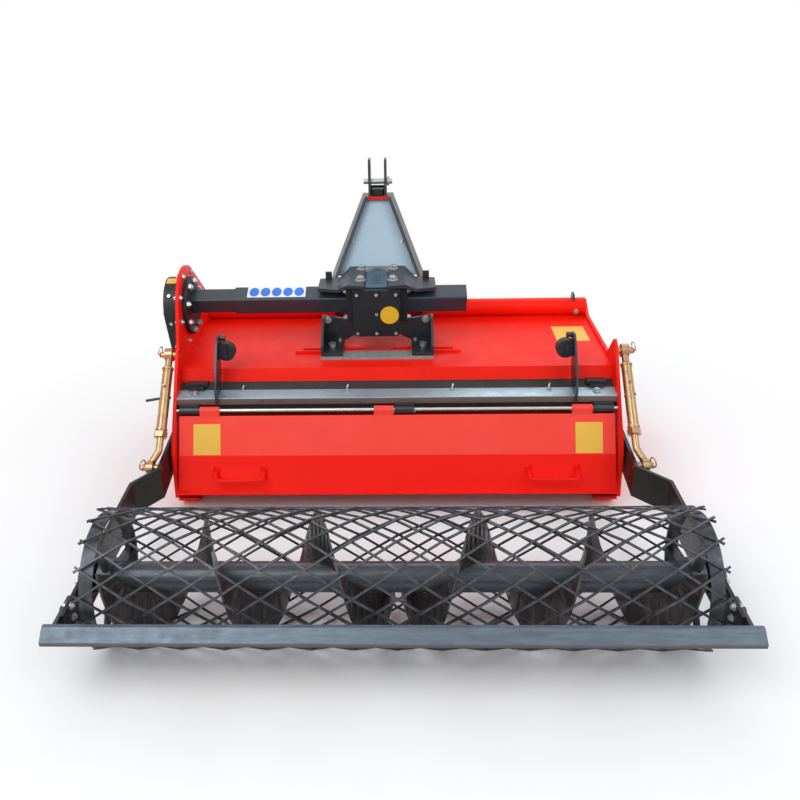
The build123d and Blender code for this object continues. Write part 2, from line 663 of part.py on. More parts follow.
def mast_panel():
    """Thin sheet between the mast's plates, cut out over the input shaft's shield."""
    sections = []
    for share in (0.0, 0.94):
        row = [a + (b - a) * share for a, b in zip(MAST_FOOT, MAST_HEAD)]
        half, y = row[0] + MAST_SPLAY / 2 - SEAT, (row[2] + row[3]) / 2
        sections.append([Vector(HEAD_X + x, y + dy, row[4]) for x,
                         dy in ((-half, 0), (half, 0), (half, 4), (-half, 4))])
    clear = GUARD_R + 4
    return closed_bar(sections) - block(HEAD_X - clear, HEAD_X + clear, GEARBOX_REAR_Y, MAST_TOP_Y, 0,
                                        DRIVE_Z + clear)


def top_ears():
    """Two upright ears with a pinned hole and a free hole for the top link."""
    ears = []
    for side in (-1, 1):
        x0 = HEAD_X + side * EAR_GAP / 2 + (0 if side > 0 else -EAR_T)
        face = outline([(MAST_TOP_Y - EAR_W / 2, MAST_TOP_Z), (MAST_TOP_Y + EAR_W / 2, MAST_TOP_Z),
                        (MAST_TOP_Y + EAR_W / 2,
                         EAR_TIP_Z - EAR_CORNER), (MAST_TOP_Y + EAR_W / 2 - EAR_CORNER, EAR_TIP_Z),
                        (MAST_TOP_Y - EAR_W / 2 + EAR_CORNER, EAR_TIP_Z),
                        (MAST_TOP_Y - EAR_W / 2, EAR_TIP_Z - EAR_CORNER)])
        ear = plate_x(face, x0, EAR_T)
        for z, r in ((TOP_HOLE_Z, TOP_HOLE_R), (TOP_HOLE_Z - TOP_PIN_DROP, TOP_PIN_R + FIT)):
            ear -= round_x(x0 - 1, x0 + EAR_T + 1, MAST_TOP_Y, z, r)
        ears.append(ear)
    back = block(HEAD_X - EAR_GAP / 2, HEAD_X + EAR_GAP / 2, MAST_TOP_Y + EAR_W / 2 - EAR_BACK_T,
                 MAST_TOP_Y + EAR_W / 2,
                 MAST_TOP_Z, MAST_TOP_Z + EAR_BACK_H)
    return ears[0] + ears[1] + back


def top_pin():
    """Zinc pin stored through the ears' lower holes."""
    z = TOP_HOLE_Z - TOP_PIN_DROP
    pin = round_x(HEAD_X - EAR_GAP / 2 - EAR_T - 16, HEAD_X + EAR_GAP / 2 + EAR_T + 18, MAST_TOP_Y, z,
                  TOP_PIN_R)
    pin += round_x(HEAD_X + EAR_GAP / 2 + EAR_T + 1, HEAD_X + EAR_GAP / 2 + EAR_T + 8, MAST_TOP_Y, z, 15)
    return pin


def cheeks():
    """Two side plates that hang from the wings, slide on the front tube and hold the hitch bar."""
    plates = []
    for side in (-1, 1):
        x0 = HEAD_X + side * CHEEK_HALF - CHEEK_T / 2
        face = outline([
            (CHEEK_REAR_Y, WING_Z), (MAST_FOOT[3], WING_Z), (FRONT_TUBE_Y + 40, FRONT_TUBE_Z + 62),
            (HITCH_Y + CHEEK_FRONT, HITCH_Z + 46), (HITCH_Y + CHEEK_FRONT, HITCH_Z - 40),
            (HITCH_Y - 40, HITCH_Z - 40), (FRONT_TUBE_Y + 12, FRONT_TUBE_Z - 52),
            (FRONT_TUBE_Y + 12, DECK_Z - 20), (FRONT_TUBE_Y + 8, DECK_Z + 6), (FRONT_TUBE_Y - 46, DECK_Z + 6),
            (CHEEK_REAR_Y + 4, 500),
        ])
        plate = plate_x(face, x0, CHEEK_T)
        plate -= round_x(x0 - 1, x0 + CHEEK_T + 1, FRONT_TUBE_Y, FRONT_TUBE_Z, FRONT_TUBE_R + FIT)
        plate -= block(x0 - 1, x0 + CHEEK_T + 1, HITCH_Y - HITCH_BAR / 2, HITCH_Y + HITCH_BAR / 2,
                       HITCH_Z - HITCH_BAR / 2, HITCH_Z + HITCH_BAR / 2)
        plates.append(plate)
    return together(plates)


def hitch_bar():
    """Square bar with a round pin at each end for the tractor's lower links."""
    bar = block(HEAD_X - HITCH_HALF, HEAD_X + HITCH_HALF, HITCH_Y - HITCH_BAR / 2, HITCH_Y + HITCH_BAR / 2,
                HITCH_Z - HITCH_BAR / 2, HITCH_Z + HITCH_BAR / 2)
    for side in (-1, 1):
        x0 = HEAD_X + side * HITCH_HALF
        x1 = x0 + side * (HITCH_PIN_FREE + 12)
        bar += round_x(min(x0, x0 + side * 10), max(x0, x0 + side * 10), HITCH_Y, HITCH_Z, 22)
        bar += round_x(min(x0, x1), max(x0, x1), HITCH_Y, HITCH_Z, HITCH_PIN_R)
    return bar


def pto_shaft():
    """Input shaft: a free end for the tractor's drive shaft and a thicker shank in the gearbox."""
    shoulder_y = PTO_TIP_Y - PTO_FREE
    shaft = round_y(HEAD_X, shoulder_y, PTO_TIP_Y, DRIVE_Z, PTO_R)
    return shaft + round_y(HEAD_X, GEARBOX_FRONT_Y - 38, shoulder_y, DRIVE_Z, PTO_SHANK_R)


def pto_guard():
    """Half-round shield over the input shaft, on the gearbox's front."""
    ring = Circle(GUARD_R) - Circle(GUARD_R - GUARD_T)
    face = ring & (Pos(0, 40) * Rectangle(200, 100))
    plane = Plane(origin=(HEAD_X, GEARBOX_FRONT_Y, DRIVE_Z), x_dir=(-1, 0, 0), z_dir=(0, 1, 0))
    return extrude(plane * face, amount=GUARD_L)


def hinge_rod():
    """Zinc rod through the flap's and the beam's knuckles."""
    return round_x(-PLATE_INSIDE, PLATE_INSIDE, HINGE_Y, HINGE_Z, HINGE_R)


# Knuckle columns: place along X, owner
KNUCKLES = [(-607.0, "frame"), (-546.5, "flap"), (-33.0, "flap"), (27.5, "frame"), (543.0, "flap"),
            (603.5, "frame")]


def knuckle(x):
    ring = round_x(x - KNUCKLE_L / 2, x + KNUCKLE_L / 2, HINGE_Y, HINGE_Z, KNUCKLE_R)
    return ring - round_x(x - KNUCKLE_L, x + KNUCKLE_L, HINGE_Y, HINGE_Z, HINGE_R + FIT)


def frame_knuckles():
    """Knuckles under the beam, each on a short neck."""
    solids = []
    for x, owner in KNUCKLES:
        if owner == "frame":
            neck = block(x - KNUCKLE_L / 2, x + KNUCKLE_L / 2, HINGE_Y - 2, BEAM_FOOT_Y - SEAT, HINGE_Z + 8,
                         BEAM_FOOT_Z + 3)
            solids.append(knuckle(x) + neck - round_x(x - 50, x + 50, HINGE_Y, HINGE_Z, HINGE_R + FIT))
    return together(solids)


def flap():
    """Bent rear flap with a flange along its foot and three knuckles along its top."""
    line = [
        (HINGE_Y - 8, HINGE_Z - 14), (FLAP_BEND_Y, FLAP_BEND_Z),
        (FLAP_FOOT_Y, FLAP_FOOT_Z), (FLAP_FOOT_Y - 16, FLAP_FOOT_Z - 4),
    ]
    sheet = plate_x(outline(strip_points(line, FLAP_T)), -FLAP_HALF, 2 * FLAP_HALF)
    for x, owner in KNUCKLES:
        if owner == "flap":
            leaf = block(x - KNUCKLE_L / 2, x + KNUCKLE_L / 2, HINGE_Y - 12, HINGE_Y - 2, HINGE_Z - 22,
                         HINGE_Z - 4)
            sheet += leaf + round_x(x - KNUCKLE_L / 2, x + KNUCKLE_L / 2, HINGE_Y, HINGE_Z, KNUCKLE_R)
            sheet -= round_x(x - KNUCKLE_L, x + KNUCKLE_L, HINGE_Y, HINGE_Z, HINGE_R + FIT)
    return sheet


def flap_handles():
    """Bent rods on the lower panel, by which the flap is lifted."""
    run = Vector(0, FLAP_FOOT_Y - FLAP_BEND_Y, FLAP_FOOT_Z - FLAP_BEND_Z).normalized()
    out = Vector(0, run.Z, -run.Y)
    if out.Y > 0:
        out = out * -1
    middle = Vector(0, (FLAP_BEND_Y + FLAP_FOOT_Y) / 2, (FLAP_BEND_Z + FLAP_FOOT_Z) / 2)
    handles = []
    for x in (-HANDLE_X, HANDLE_X):
        base = middle + Vector(x, 0, 0) + out * SEAT
        corners = [base + Vector(-HANDLE_HALF, 0, 0), base + Vector(-HANDLE_HALF, 0, 0) + out * HANDLE_OUT,
                   base + Vector(HANDLE_HALF, 0, 0) + out * HANDLE_OUT, base + Vector(HANDLE_HALF, 0, 0)]
        path = FilletPolyline(*corners, radius=16)
        start = Plane(origin=corners[0], z_dir=out)
        handles.append(sweep(start * Circle(HANDLE_R), path=path))
    return together(handles)


# Side view of a flap stop: its rear edge from the hinge upwards, then its front edge down to the beam
STOP_SIDE = [(599, 304), (599, 346), (636, 408), (680, 464), (702, 478), (730, 474), (734, 456), (716, 430),
             (702, 404),
             (694, 372), (676, 340), (660, BEAM_TOP_Z), (614, BEAM_FOLD_Z + SEAT), (610,
                                                                                    BEAM_FOLD_Z - 3), (609,
                                                                                                       304)]


def flap_stops():
    """Two brackets on the beam, curved forward over the deck, each with a tab for its buffer and a bolt."""
    bracket = plate_x(outline(STOP_SIDE), STOP_X - STOP_T / 2, STOP_T)
    inner = STOP_X - STOP_T / 2
    bracket += block(BUFFER_X - 10, inner, TAB_Y, TAB_Y + TAB_T, BUFFER_Z - 20, BUFFER_Z + 16)
    bracket += round_x(inner - 16, inner, TAB_Y + 39, BUFFER_Z + 32, 8)
    return both_sides(bracket)


def stop_buffers():
    """Rubber buffers behind the tabs, on which the opened flap rests."""
    y0 = TAB_Y + TAB_T + SEAT
    buffer = round_y(BUFFER_X - STOP_T, y0, y0 + BUFFER_L, BUFFER_Z, BUFFER_R)
    return both_sides(buffer - plate_x(outline(STOP_SIDE), STOP_X - STOP_T / 2 - SEAT, 4 * STOP_T))


def roller_tube():
    """Centre tube with stub axles, end hoops on spokes."""
    tube = round_x(-ROLLER_TUBE_HALF, ROLLER_TUBE_HALF, 0, ROLLER_Z, ROLLER_TUBE_R)
    tube += round_x(-ARM_OUTER - 14, ARM_OUTER + 14, 0, ROLLER_Z, STUB_R)
    return tube


def roller_hoops():
    """Flat hoops inside the cage's ends, each on three spokes."""
    hoops = []
    outer = CORE_R
    for side in (-1, 1):
        ring = Circle(outer) - Circle(outer - HOOP_T)
        hoop = plate_x(Pos(0, ROLLER_Z) * ring, side * HOOP_X - HOOP_W / 2, HOOP_W)
        hub = Circle(ROLLER_TUBE_R + 9) - Circle(ROLLER_TUBE_R)
        hoop += plate_x(Pos(0, ROLLER_Z) * hub, side * HOOP_X - HOOP_W / 2, HOOP_W)
        for k in range(SPOKES):
            length = outer - HOOP_T / 2 - ROLLER_TUBE_R - 4
            spoke = Pos(0, 0, ROLLER_TUBE_R + 4 + length / 2) * Box(HOOP_T, HOOP_W, length)
            hoop += Pos(side * HOOP_X, 0, ROLLER_Z) * Rot(360.0 * k / SPOKES + 20, 0, 0) * spoke
        hoops.append(hoop)
    return together(hoops)


def closed_bar(sections):
    """A closed bar through four-cornered sections, its sides split into flat triangles."""
    faces = [Face(Wire.make_polygon(sections[0], close=True)),
             Face(Wire.make_polygon(sections[-1], close=True))]
    for s, t in zip(sections, sections[1:]):
        for i in range(4):
            j = (i + 1) % 4
            faces.append(Face(Wire.make_polygon([s[i], s[j], t[j]], close=True)))
            faces.append(Face(Wire.make_polygon([s[i], t[j], t[i]], close=True)))
    return Solid(Shell(faces))


def strand(first, hand, low_r):
    """One strand of the cage: straight runs from knuckle to knuckle round the cylinder."""
    step = 2 * math.pi / CAGE_AROUND
    mid_r = low_r + STRAND_T / 2
    slope = math.atan2(mid_r * step, CAGE_LONG)
    half_x = STRAND_W / 2 * math.sin(slope)
    half_t = STRAND_W / 2 * math.cos(slope)
    reach = CAGE_LONG * CAGE_ALONG / 2
    places = [-CAGE_HALF + half_x] + [-reach + CAGE_LONG * i for i in range(CAGE_ALONG + 1)] + [CAGE_HALF - half_x]
    sections = []
    for x in places:
        turn = first * step + hand * (x + reach) / CAGE_LONG * step
        out = Vector(0, math.cos(turn), math.sin(turn))
        along = Vector(0, -math.sin(turn), math.cos(turn)) * hand
        side = Vector(half_x, 0, 0) - along * half_t
        centre = Vector(x, 0, ROLLER_Z)
        low, high = centre + out * low_r, centre + out * (low_r + STRAND_T)
        sections.append([low - side, low + side, high + side, high - side])
    return closed_bar(sections)


def cage():
    """Expanded-metal cage: two crossing layers of strands."""
    strands = []
    for k in range(CAGE_AROUND):
        strands.append(strand(k, 1, INNER_LAYER_R))
        strands.append(strand(k, -1, INNER_LAYER_R + STRAND_T + LAYER_GAP))
    return together(strands)


def flight():
    """The right-hand screw flight, from the middle to the end; the left one is its mirror image."""
    step = 2 * math.pi / FLIGHT_STEPS_A_TURN
    count = int(round((FLIGHT_END_X - FLIGHT_START_X) / FLIGHT_PITCH * FLIGHT_STEPS_A_TURN))
    low = (ROLLER_TUBE_R + SEAT) / math.cos(step / 2)
    sections = []
    for i in range(count + 1):
        turn = math.radians(FLIGHT_START_TURN) - step * i
        x = FLIGHT_START_X + FLIGHT_PITCH * i / FLIGHT_STEPS_A_TURN
        out = Vector(0, math.cos(turn), math.sin(turn))
        thick = Vector(FLIGHT_T / 2, 0, 0)
        centre = Vector(x, 0, ROLLER_Z)
        inner, outer = centre + out * low, centre + out * CORE_R
        sections.append([inner - thick, inner + thick, outer + thick, outer - thick])
    return closed_bar(sections)


def roller_arm(off):
    """Right arm: a flat bar bent outwards past the plate's rear edge, from its pivot to the scraper."""
    inner_rear = ARM_INNER_REAR + off
    line = [(PIVOT_Y + 70, ARM_INNER_FRONT), (ARM_BEND_FRONT_Y, ARM_INNER_FRONT),
            (ARM_BEND_REAR_Y, inner_rear), (ARM_REAR_Y, inner_rear)]
    corners = [(x, y) for y, x in strip_points(line, -ARM_T)]
    plan = plate_z(outline(corners), 0, 500)
    side = outline([
        (PIVOT_Y + 46, PIVOT_Z - 24), (PIVOT_Y + 46, PIVOT_Z + 24), (PIVOT_Y + 24, PIVOT_Z + 46),
        (PIVOT_Y - 50, PIVOT_Z + 40), (600, 216), (ARM_BEND_FRONT_Y, 200), (ARM_BEND_REAR_Y, 196),
        (ARM_REAR_Y, 190), (ARM_REAR_Y, 120), (-110, 96), (ARM_BEND_REAR_Y, 98), (ARM_BEND_FRONT_Y, 102),
        (PIVOT_Y - 50, PIVOT_Z - 66), (PIVOT_Y + 24, PIVOT_Z - 46),
    ])
    arm = plan & plate_x(side, ARM_INNER_FRONT - 5, ARM_OUT + ARM_T + off + 10)
    arm -= round_x(ARM_INNER_FRONT - 1, ARM_INNER_FRONT + ARM_T + 1, PIVOT_Y, PIVOT_Z, PIVOT_R + FIT)
    arm -= round_x(inner_rear - 1, inner_rear + ARM_T + 1, 0, ROLLER_Z, STUB_R + FIT)
    arm -= round_x(ARM_INNER_FRONT - 1, ARM_OUTER + 1, ADJ_LOW_Y, ADJ_LOW_Z, ADJ_PIN_R + FIT)
    return arm


def roller_bearings():
    """Flanged bearings on the arms' inner faces."""
    housing = round_x(ARM_INNER_REAR - 18, ARM_INNER_REAR, 0, ROLLER_Z, 38)
    housing += round_x(ARM_INNER_REAR - 8, ARM_INNER_REAR, 0, ROLLER_Z, 50)
    housing -= round_x(ARM_INNER_REAR - 20, ARM_INNER_REAR + 1, 0, ROLLER_Z, STUB_R + FIT)
    return both_sides(housing)


def arm_pivots():
    """Pivot bolts of the arms, held in the side plates."""
    pin = round_x(PLATE_INSIDE - 4, ARM_INNER_FRONT + ARM_T + 14, PIVOT_Y, PIVOT_Z, PIVOT_R)
    pin += round_x(ARM_INNER_FRONT + ARM_T + 3, ARM_INNER_FRONT + ARM_T + 15, PIVOT_Y, PIVOT_Z, 19)
    pin += round_x(PLATE_INSIDE - 12, PLATE_INSIDE, PIVOT_Y, PIVOT_Z, 19)
    return both_sides(pin)


def scraper_bar():
    """Long bar behind the cage."""
    face = outline([(SCRAPER_Y + 12, SCRAPER_Z + 12), (SCRAPER_Y - 14, SCRAPER_Z - 9),
                    (SCRAPER_Y - 14, SCRAPER_Z - 19),
                    (SCRAPER_Y + 22, SCRAPER_Z - 19), (SCRAPER_Y + 22, SCRAPER_Z + 12)])
    return plate_x(face, -SCRAPER_HALF, 2 * SCRAPER_HALF)


def scraper_arms():
    """Short brackets that carry the scraper on the arms' rear ends."""
    x0 = ARM_OUTER
    face = outline([(ARM_REAR_Y + 70, 140), (ARM_REAR_Y + 70, 186), (SCRAPER_Y + 22, 186),
                    (SCRAPER_Y + 22, 156)])
    bracket = plate_x(face, x0, 8)
    bracket += round_x(x0 + 8, x0 + 18, ARM_REAR_Y + 46, 164, 11)
    return both_sides(bracket)


def adjuster_plane():
    """A plane at the upper pin whose Z axis runs down the right-hand adjuster."""
    run = Vector(0, ADJ_LOW_Y - ADJ_UP_Y, ADJ_LOW_Z - ADJ_UP_Z)
    return Plane(origin=(ADJ_X, ADJ_UP_Y, ADJ_UP_Z), x_dir=(1, 0, 0), z_dir=run)


def adjuster_barrel():
    """Upper eye, turnbuckle barrel and lock nut."""
    bore = ADJ_ROD_R + FIT
    neck_r, neck_end, bore_start, nut_t = 10.5, 42, 62, 14
    half = make_face(Polyline((0, 8), (neck_r, 8), (neck_r, neck_end - 4), (ADJ_BARREL_R, neck_end),
                              (ADJ_BARREL_R, ADJ_BARREL_END - 3), (ADJ_BARREL_R - 2, ADJ_BARREL_END),
                              (bore, ADJ_BARREL_END), (bore, bore_start), (0, bore_start), close=True))
    solid = revolve(Plane.XZ * half, Axis.Z)
    solid += Rot(0, 90, 0) * Cylinder(ADJ_EYE_R, ADJ_EYE_W)
    solid -= Rot(0, 90, 0) * Cylinder(ADJ_PIN_R + FIT, ADJ_EYE_W + 2)
    ring = RegularPolygon(ADJ_NUT_W / 2, 6, major_radius=False) - Circle(bore)
    solid += extrude(Plane.XY.offset(ADJ_BARREL_END - 1) * ring, amount=nut_t + 1)
    return adjuster_plane() * solid


def adjuster_rod():
    """Lower rod, which bends outwards to its eye beside the arm."""
    jog = ADJ_EYE_X - ADJ_X
    path = FilletPolyline((0, 0, 118), (0, 0, ADJ_LENGTH - 50), (jog, 0, ADJ_LENGTH - 14), radius=20)
    rod = sweep(Plane.XY.offset(118) * Circle(ADJ_ROD_R), path=path)
    eye = Pos(jog, 0, ADJ_LENGTH) * Rot(0, 90, 0) * Cylinder(ADJ_EYE_R, ADJ_EYE_W - 4)
    solid = rod + eye
    solid -= Pos(jog, 0, ADJ_LENGTH) * Rot(0, 90, 0) * Cylinder(ADJ_PIN_R + ADJ_SLACK, 3 * ADJ_EYE_W)
    return adjuster_plane() * solid


def adjuster_upper_pins():
    """Pins of the upper eyes, held in the side plates."""
    return both_sides(round_x(PLATE_INSIDE, ADJ_X + ADJ_EYE_W / 2 + 12, ADJ_UP_Y, ADJ_UP_Z, ADJ_PIN_R))


def adjuster_lower_pins():
    """Pins of the lower eyes, held in the arms."""
    pin = round_x(ARM_INNER_FRONT + 2, ADJ_EYE_X + ADJ_EYE_W / 2 + 12, ADJ_LOW_Y, ADJ_LOW_Z, ADJ_PIN_R)
    return both_sides(pin)


right_rod = adjuster_rod()
right_barrel = adjuster_barrel()

beside = Pos(ROLLER_OFF_X, 0, 0)

NODES = {
    "side_plate_right": side_plate(),
    "side_plate_left": left_plate(),
    "skid_right": skid(),
    "skid_left": mirrored(skid()),
    "hood": hood(),
    "front_tube": round_x(-PLATE_INSIDE, PLATE_INSIDE, FRONT_TUBE_Y, FRONT_TUBE_Z, FRONT_TUBE_R),
    "rear_beam": rear_beam(),
    "rubber_strip": rubber_strip(),
    "beam_seal": beam_seal(),
    "guide_rail": guide_rail(),
    "comb_fingers": comb(),
    "comb_bar": comb_bar(),
    "rail": rail(),
    "rail_flange": rail_flange(),
    "chain_case": chain_case(),
    "rotor_bearings": rotor_bearings(),
    "hinge_rod": hinge_rod(),
    "hinge_knuckles": frame_knuckles(),
    "flap_stops": flap_stops(),
    "stop_buffers": stop_buffers(),
    "arm_pivots": arm_pivots(),
    "adjuster_upper_pins": adjuster_upper_pins(),
    "sleeve": sleeve(),
    "gearbox": gearbox(),
    "gearbox_cover": gearbox_cover(),
    "carrier": carrier_bracket(),
    "carrier_flat": carrier_flat(),
    "carrier_bolts": foot_bolts(),
    "wings": wings(),
    "mast": mast(),
    "mast_panel": mast_panel(),
    "top_link_ears": top_ears(),
    "top_link_pin": top_pin(),
    "hitch_cheeks": cheeks(),
    "hitch_bar": hitch_bar(),
    "pto_guard": pto_guard(),
    "pto_shaft": pto_shaft(),
    "rotor_shaft": rotor_shaft(),
    "rotor_blades": rotor_blades(),
    "flap": flap(),
    "flap_handles": flap_handles(),
    "roller_arm_right": roller_arm(ROLLER_OFF_X),
    "roller_arm_left": mirrored(roller_arm(-ROLLER_OFF_X)),
    "roller_bearings": beside * roller_bearings(),
    "scraper_bar": beside * scraper_bar(),
    "scraper_brackets": beside * scraper_arms(),
    "adjuster_lower_pins": adjuster_lower_pins(),
    "roller_tube": beside * roller_tube(),
    "roller_hoops": beside * roller_hoops(),
    "roller_flights": beside * both_sides(flight()),
    "roller_cage": beside * cage(),
    "adjuster_barrel_right": right_barrel,
    "adjuster_barrel_left": mirrored(right_barrel),
    "adjuster_rod_right": right_rod,
    "adjuster_rod_left": mirrored(right_rod),
}

for node_name, node_shape in NODES.items():
    keep(node_name, node_shape)
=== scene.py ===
import json
import math

import bpy
from mathutils import Matrix, Vector
from mathutils.bvhtree import BVHTree


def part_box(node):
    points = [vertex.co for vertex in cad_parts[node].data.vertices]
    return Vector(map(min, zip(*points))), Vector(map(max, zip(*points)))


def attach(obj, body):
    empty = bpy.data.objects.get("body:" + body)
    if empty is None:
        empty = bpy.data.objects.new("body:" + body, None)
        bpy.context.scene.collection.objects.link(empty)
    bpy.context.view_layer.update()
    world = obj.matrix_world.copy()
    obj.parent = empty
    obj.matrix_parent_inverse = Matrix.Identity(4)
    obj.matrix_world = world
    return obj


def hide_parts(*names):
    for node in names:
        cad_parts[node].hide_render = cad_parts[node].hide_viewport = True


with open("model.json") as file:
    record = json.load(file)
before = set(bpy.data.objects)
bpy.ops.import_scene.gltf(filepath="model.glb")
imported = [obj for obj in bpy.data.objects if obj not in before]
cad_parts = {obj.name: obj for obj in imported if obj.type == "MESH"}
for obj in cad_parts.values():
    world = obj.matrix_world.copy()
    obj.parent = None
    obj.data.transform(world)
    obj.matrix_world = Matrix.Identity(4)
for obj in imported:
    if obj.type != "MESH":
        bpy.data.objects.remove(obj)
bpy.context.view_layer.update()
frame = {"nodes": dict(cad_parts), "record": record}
nodes = frame["nodes"]
scene = bpy.context.scene

MM = 0.001
tube_low, tube_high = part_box("roller_tube")
AXIS_Y = (tube_low.y + tube_high.y) / 2


def at(x, y, z):
    """A place from millimetres, with Y written from the cage roller's axis."""
    return Vector((x * MM, y * MM + AXIS_Y, z * MM))


def mm(x, y, z):
    """A step from millimetres."""
    return Vector((x * MM, y * MM, z * MM))


# materials

def shader(name):
    """A new material with its node tree and its one shader."""
    mat = bpy.data.materials.new(name)
    mat.use_nodes = True
    tree = mat.node_tree
    tree.nodes.clear()
    out = tree.nodes.new("ShaderNodeOutputMaterial")
    bsdf = tree.nodes.new("ShaderNodeBsdfPrincipled")
    tree.links.new(bsdf.outputs[0], out.inputs[0])
    return mat, tree, bsdf


def noise(tree, scale, detail=3.0, rough=0.5, stretch=None):
    """Noise in the object's own coordinates, drawn out along an axis where stretch is given."""
    coord = tree.nodes.new("ShaderNodeTexCoord")
    tex = tree.nodes.new("ShaderNodeTexNoise")
    tex.inputs["Scale"].default_value = scale
    tex.inputs["Detail"].default_value = detail
    tex.inputs["Roughness"].default_value = rough
    source = coord.outputs["Object"]
    if stretch:
        mapping = tree.nodes.new("ShaderNodeMapping")
        mapping.inputs["Scale"].default_value = stretch
        tree.links.new(source, mapping.inputs["Vector"])
        source = mapping.outputs[0]
    tree.links.new(source, tex.inputs["Vector"])
    return tex.outputs["Fac"]


def ramp(tree, value, low, high, a, b):
    """Goes from a to b while value goes from low to high."""
    node = tree.nodes.new("ShaderNodeMapRange")
    node.inputs["From Min"].default_value = low
    node.inputs["From Max"].default_value = high
    node.inputs["To Min"].default_value = a
    node.inputs["To Max"].default_value = b
    tree.links.new(value, node.inputs["Value"])
    return node.outputs[0]


def mix(tree, factor, a, b):
    """Blends from colour a to colour b; each is three numbers or a socket."""
    node = tree.nodes.new("ShaderNodeMix")
    node.data_type = "RGBA"
    tree.links.new(factor, node.inputs[0])
    for socket, value in ((node.inputs[6], a), (node.inputs[7], b)):
        if isinstance(value, tuple):
            socket.default_value = (*value, 1.0)
        else:
            tree.links.new(value, socket)
    return node.outputs[2]


def bump(tree, bsdf, height, strength, distance):
    node = tree.nodes.new("ShaderNodeBump")
    node.inputs["Strength"].default_value = strength
    node.inputs["Distance"].default_value = distance
    tree.links.new(height, node.inputs["Height"])
    tree.links.new(node.outputs[0], bsdf.inputs["Normal"])


def paint(name, colour, shade, rough=0.32, coat=0.5, metallic=0.0, grain=900.0, bump_by=0.08, shine=0.5):
    """Sprayed paint: a slow change of shade, fine orange peel and a clear coat."""
    mat, tree, bsdf = shader(name)
    slow = ramp(tree, noise(tree, 5.0, 4.0), 0.35, 0.7, 0.0, 1.0)
    tree.links.new(mix(tree, slow, colour, shade), bsdf.inputs["Base Color"])
    worn = ramp(tree, noise(tree, 22.0, 5.0), 0.3, 0.7, rough * 0.85, rough * 1.2)
    tree.links.new(worn, bsdf.inputs["Roughness"])
    bsdf.inputs["Metallic"].default_value = metallic
    bsdf.inputs["Coat Weight"].default_value = coat
    bsdf.inputs["Coat Roughness"].default_value = 0.12
    bsdf.inputs["Specular IOR Level"].default_value = shine
    bump(tree, bsdf, noise(tree, grain, 2.0), bump_by, 0.0004)
    return mat


def metal(name, colour, shade, rough=0.35, scale=60.0, metallic=1.0, spangle=False, stretch=None):
    """Bare or plated steel: patches or crystals of two shades, with worn roughness."""
    mat, tree, bsdf = shader(name)
    if spangle:
        coord = tree.nodes.new("ShaderNodeTexCoord")
        cells = tree.nodes.new("ShaderNodeTexVoronoi")
        cells.inputs["Scale"].default_value = scale
        tree.links.new(coord.outputs["Object"], cells.inputs["Vector"])
        grey = tree.nodes.new("ShaderNodeRGBToBW")
        tree.links.new(cells.outputs["Color"], grey.inputs[0])
        patch = ramp(tree, grey.outputs[0], 0.2, 0.8, 0.0, 1.0)
    else:
        patch = ramp(tree, noise(tree, scale, 4.0, 0.6, stretch), 0.35, 0.65, 0.0, 1.0)
    tree.links.new(mix(tree, patch, colour, shade), bsdf.inputs["Base Color"])
    worn = ramp(tree, noise(tree, 35.0, 5.0), 0.3, 0.7, rough * 0.75, rough * 1.3)
    tree.links.new(worn, bsdf.inputs["Roughness"])
    bsdf.inputs["Metallic"].default_value = metallic
    bump(tree, bsdf, noise(tree, 400.0, 3.0, 0.6, stretch), 0.05, 0.0003)
    return mat


# paint: name, colour, its other shade, roughness, coat, metallic, scale and depth of the orange peel, shine
# metal: name, colour, its other shade, roughness, scale of the patches, metallic, spangle, stretch
RED = paint("red_paint", (0.96, 0.014, 0.003), (0.90, 0.010, 0.002), 0.42, 0.03, 0.0, 500.0, 0.02, 0.16)
# painted reflection: the flap's red is a paler, pinkish copy of the red paint, for the pale floor mirrored in
# its steep face
FLAP_REFLECTED_RED = paint("flap_red_painted_reflection", (1.0, 0.075, 0.055), (0.98, 0.062, 0.045), 0.40, 0.04, 0.0, 500.0, 0.02, 0.14)
# painted shade: a very dark red for the flap's lip, which lies in the rod's shadow
SHADE_RED = paint("painted_shade_red", (0.10, 0.004, 0.002), (0.07, 0.004, 0.002), 0.6, 0.0, 0.0, 500.0, 0.02, 0.2)
BLACK = paint("black_paint", (0.015, 0.020, 0.026), (0.024, 0.031, 0.040), 0.36, 0.18, 0.0, 300.0, 0.05)
CAST = paint("cast_black", (0.009, 0.009, 0.011), (0.016, 0.016, 0.018), 0.50, 0.05, 0.0, 260.0, 0.25, 0.35)
# painted sheen: a lighter, bluish copy of the cast black for the casting's top faces
CAST_TOP_SHEEN = paint("cast_top_painted_sheen", (0.028, 0.066, 0.108), (0.038, 0.082, 0.130), 0.44, 0.05, 0.0, 260.0, 0.2, 0.3)
SLEEVE = paint("sleeve_black", (0.024, 0.037, 0.050), (0.033, 0.048, 0.062), 0.36, 0.12, 0.0, 300.0, 0.04,
               0.42)
CASE = paint("case_black", (0.009, 0.012, 0.015), (0.015, 0.018, 0.022), 0.42, 0.06, 0.0, 300.0, 0.05, 0.32)
ARM = paint("arm_black", (0.012, 0.009, 0.008), (0.021, 0.016, 0.014), 0.28, 0.06, 0.0, 300.0, 0.03, 0.26)
WING = paint("wing_black", (0.030, 0.038, 0.046), (0.022, 0.029, 0.036), 0.42, 0.06, 0.0, 260.0, 0.08, 0.25)
GALV = metal("galvanised", (0.34, 0.50, 0.57), (0.29, 0.43, 0.49), 0.36, 260.0, 0.5, True)
ZINC = metal("zinc", (0.56, 0.58, 0.60), (0.44, 0.46, 0.49), 0.32, 140.0, 0.75)
FLAT = metal("zinc_flat", (0.36, 0.40, 0.40), (0.28, 0.32, 0.32), 0.55, 90.0, 0.35)
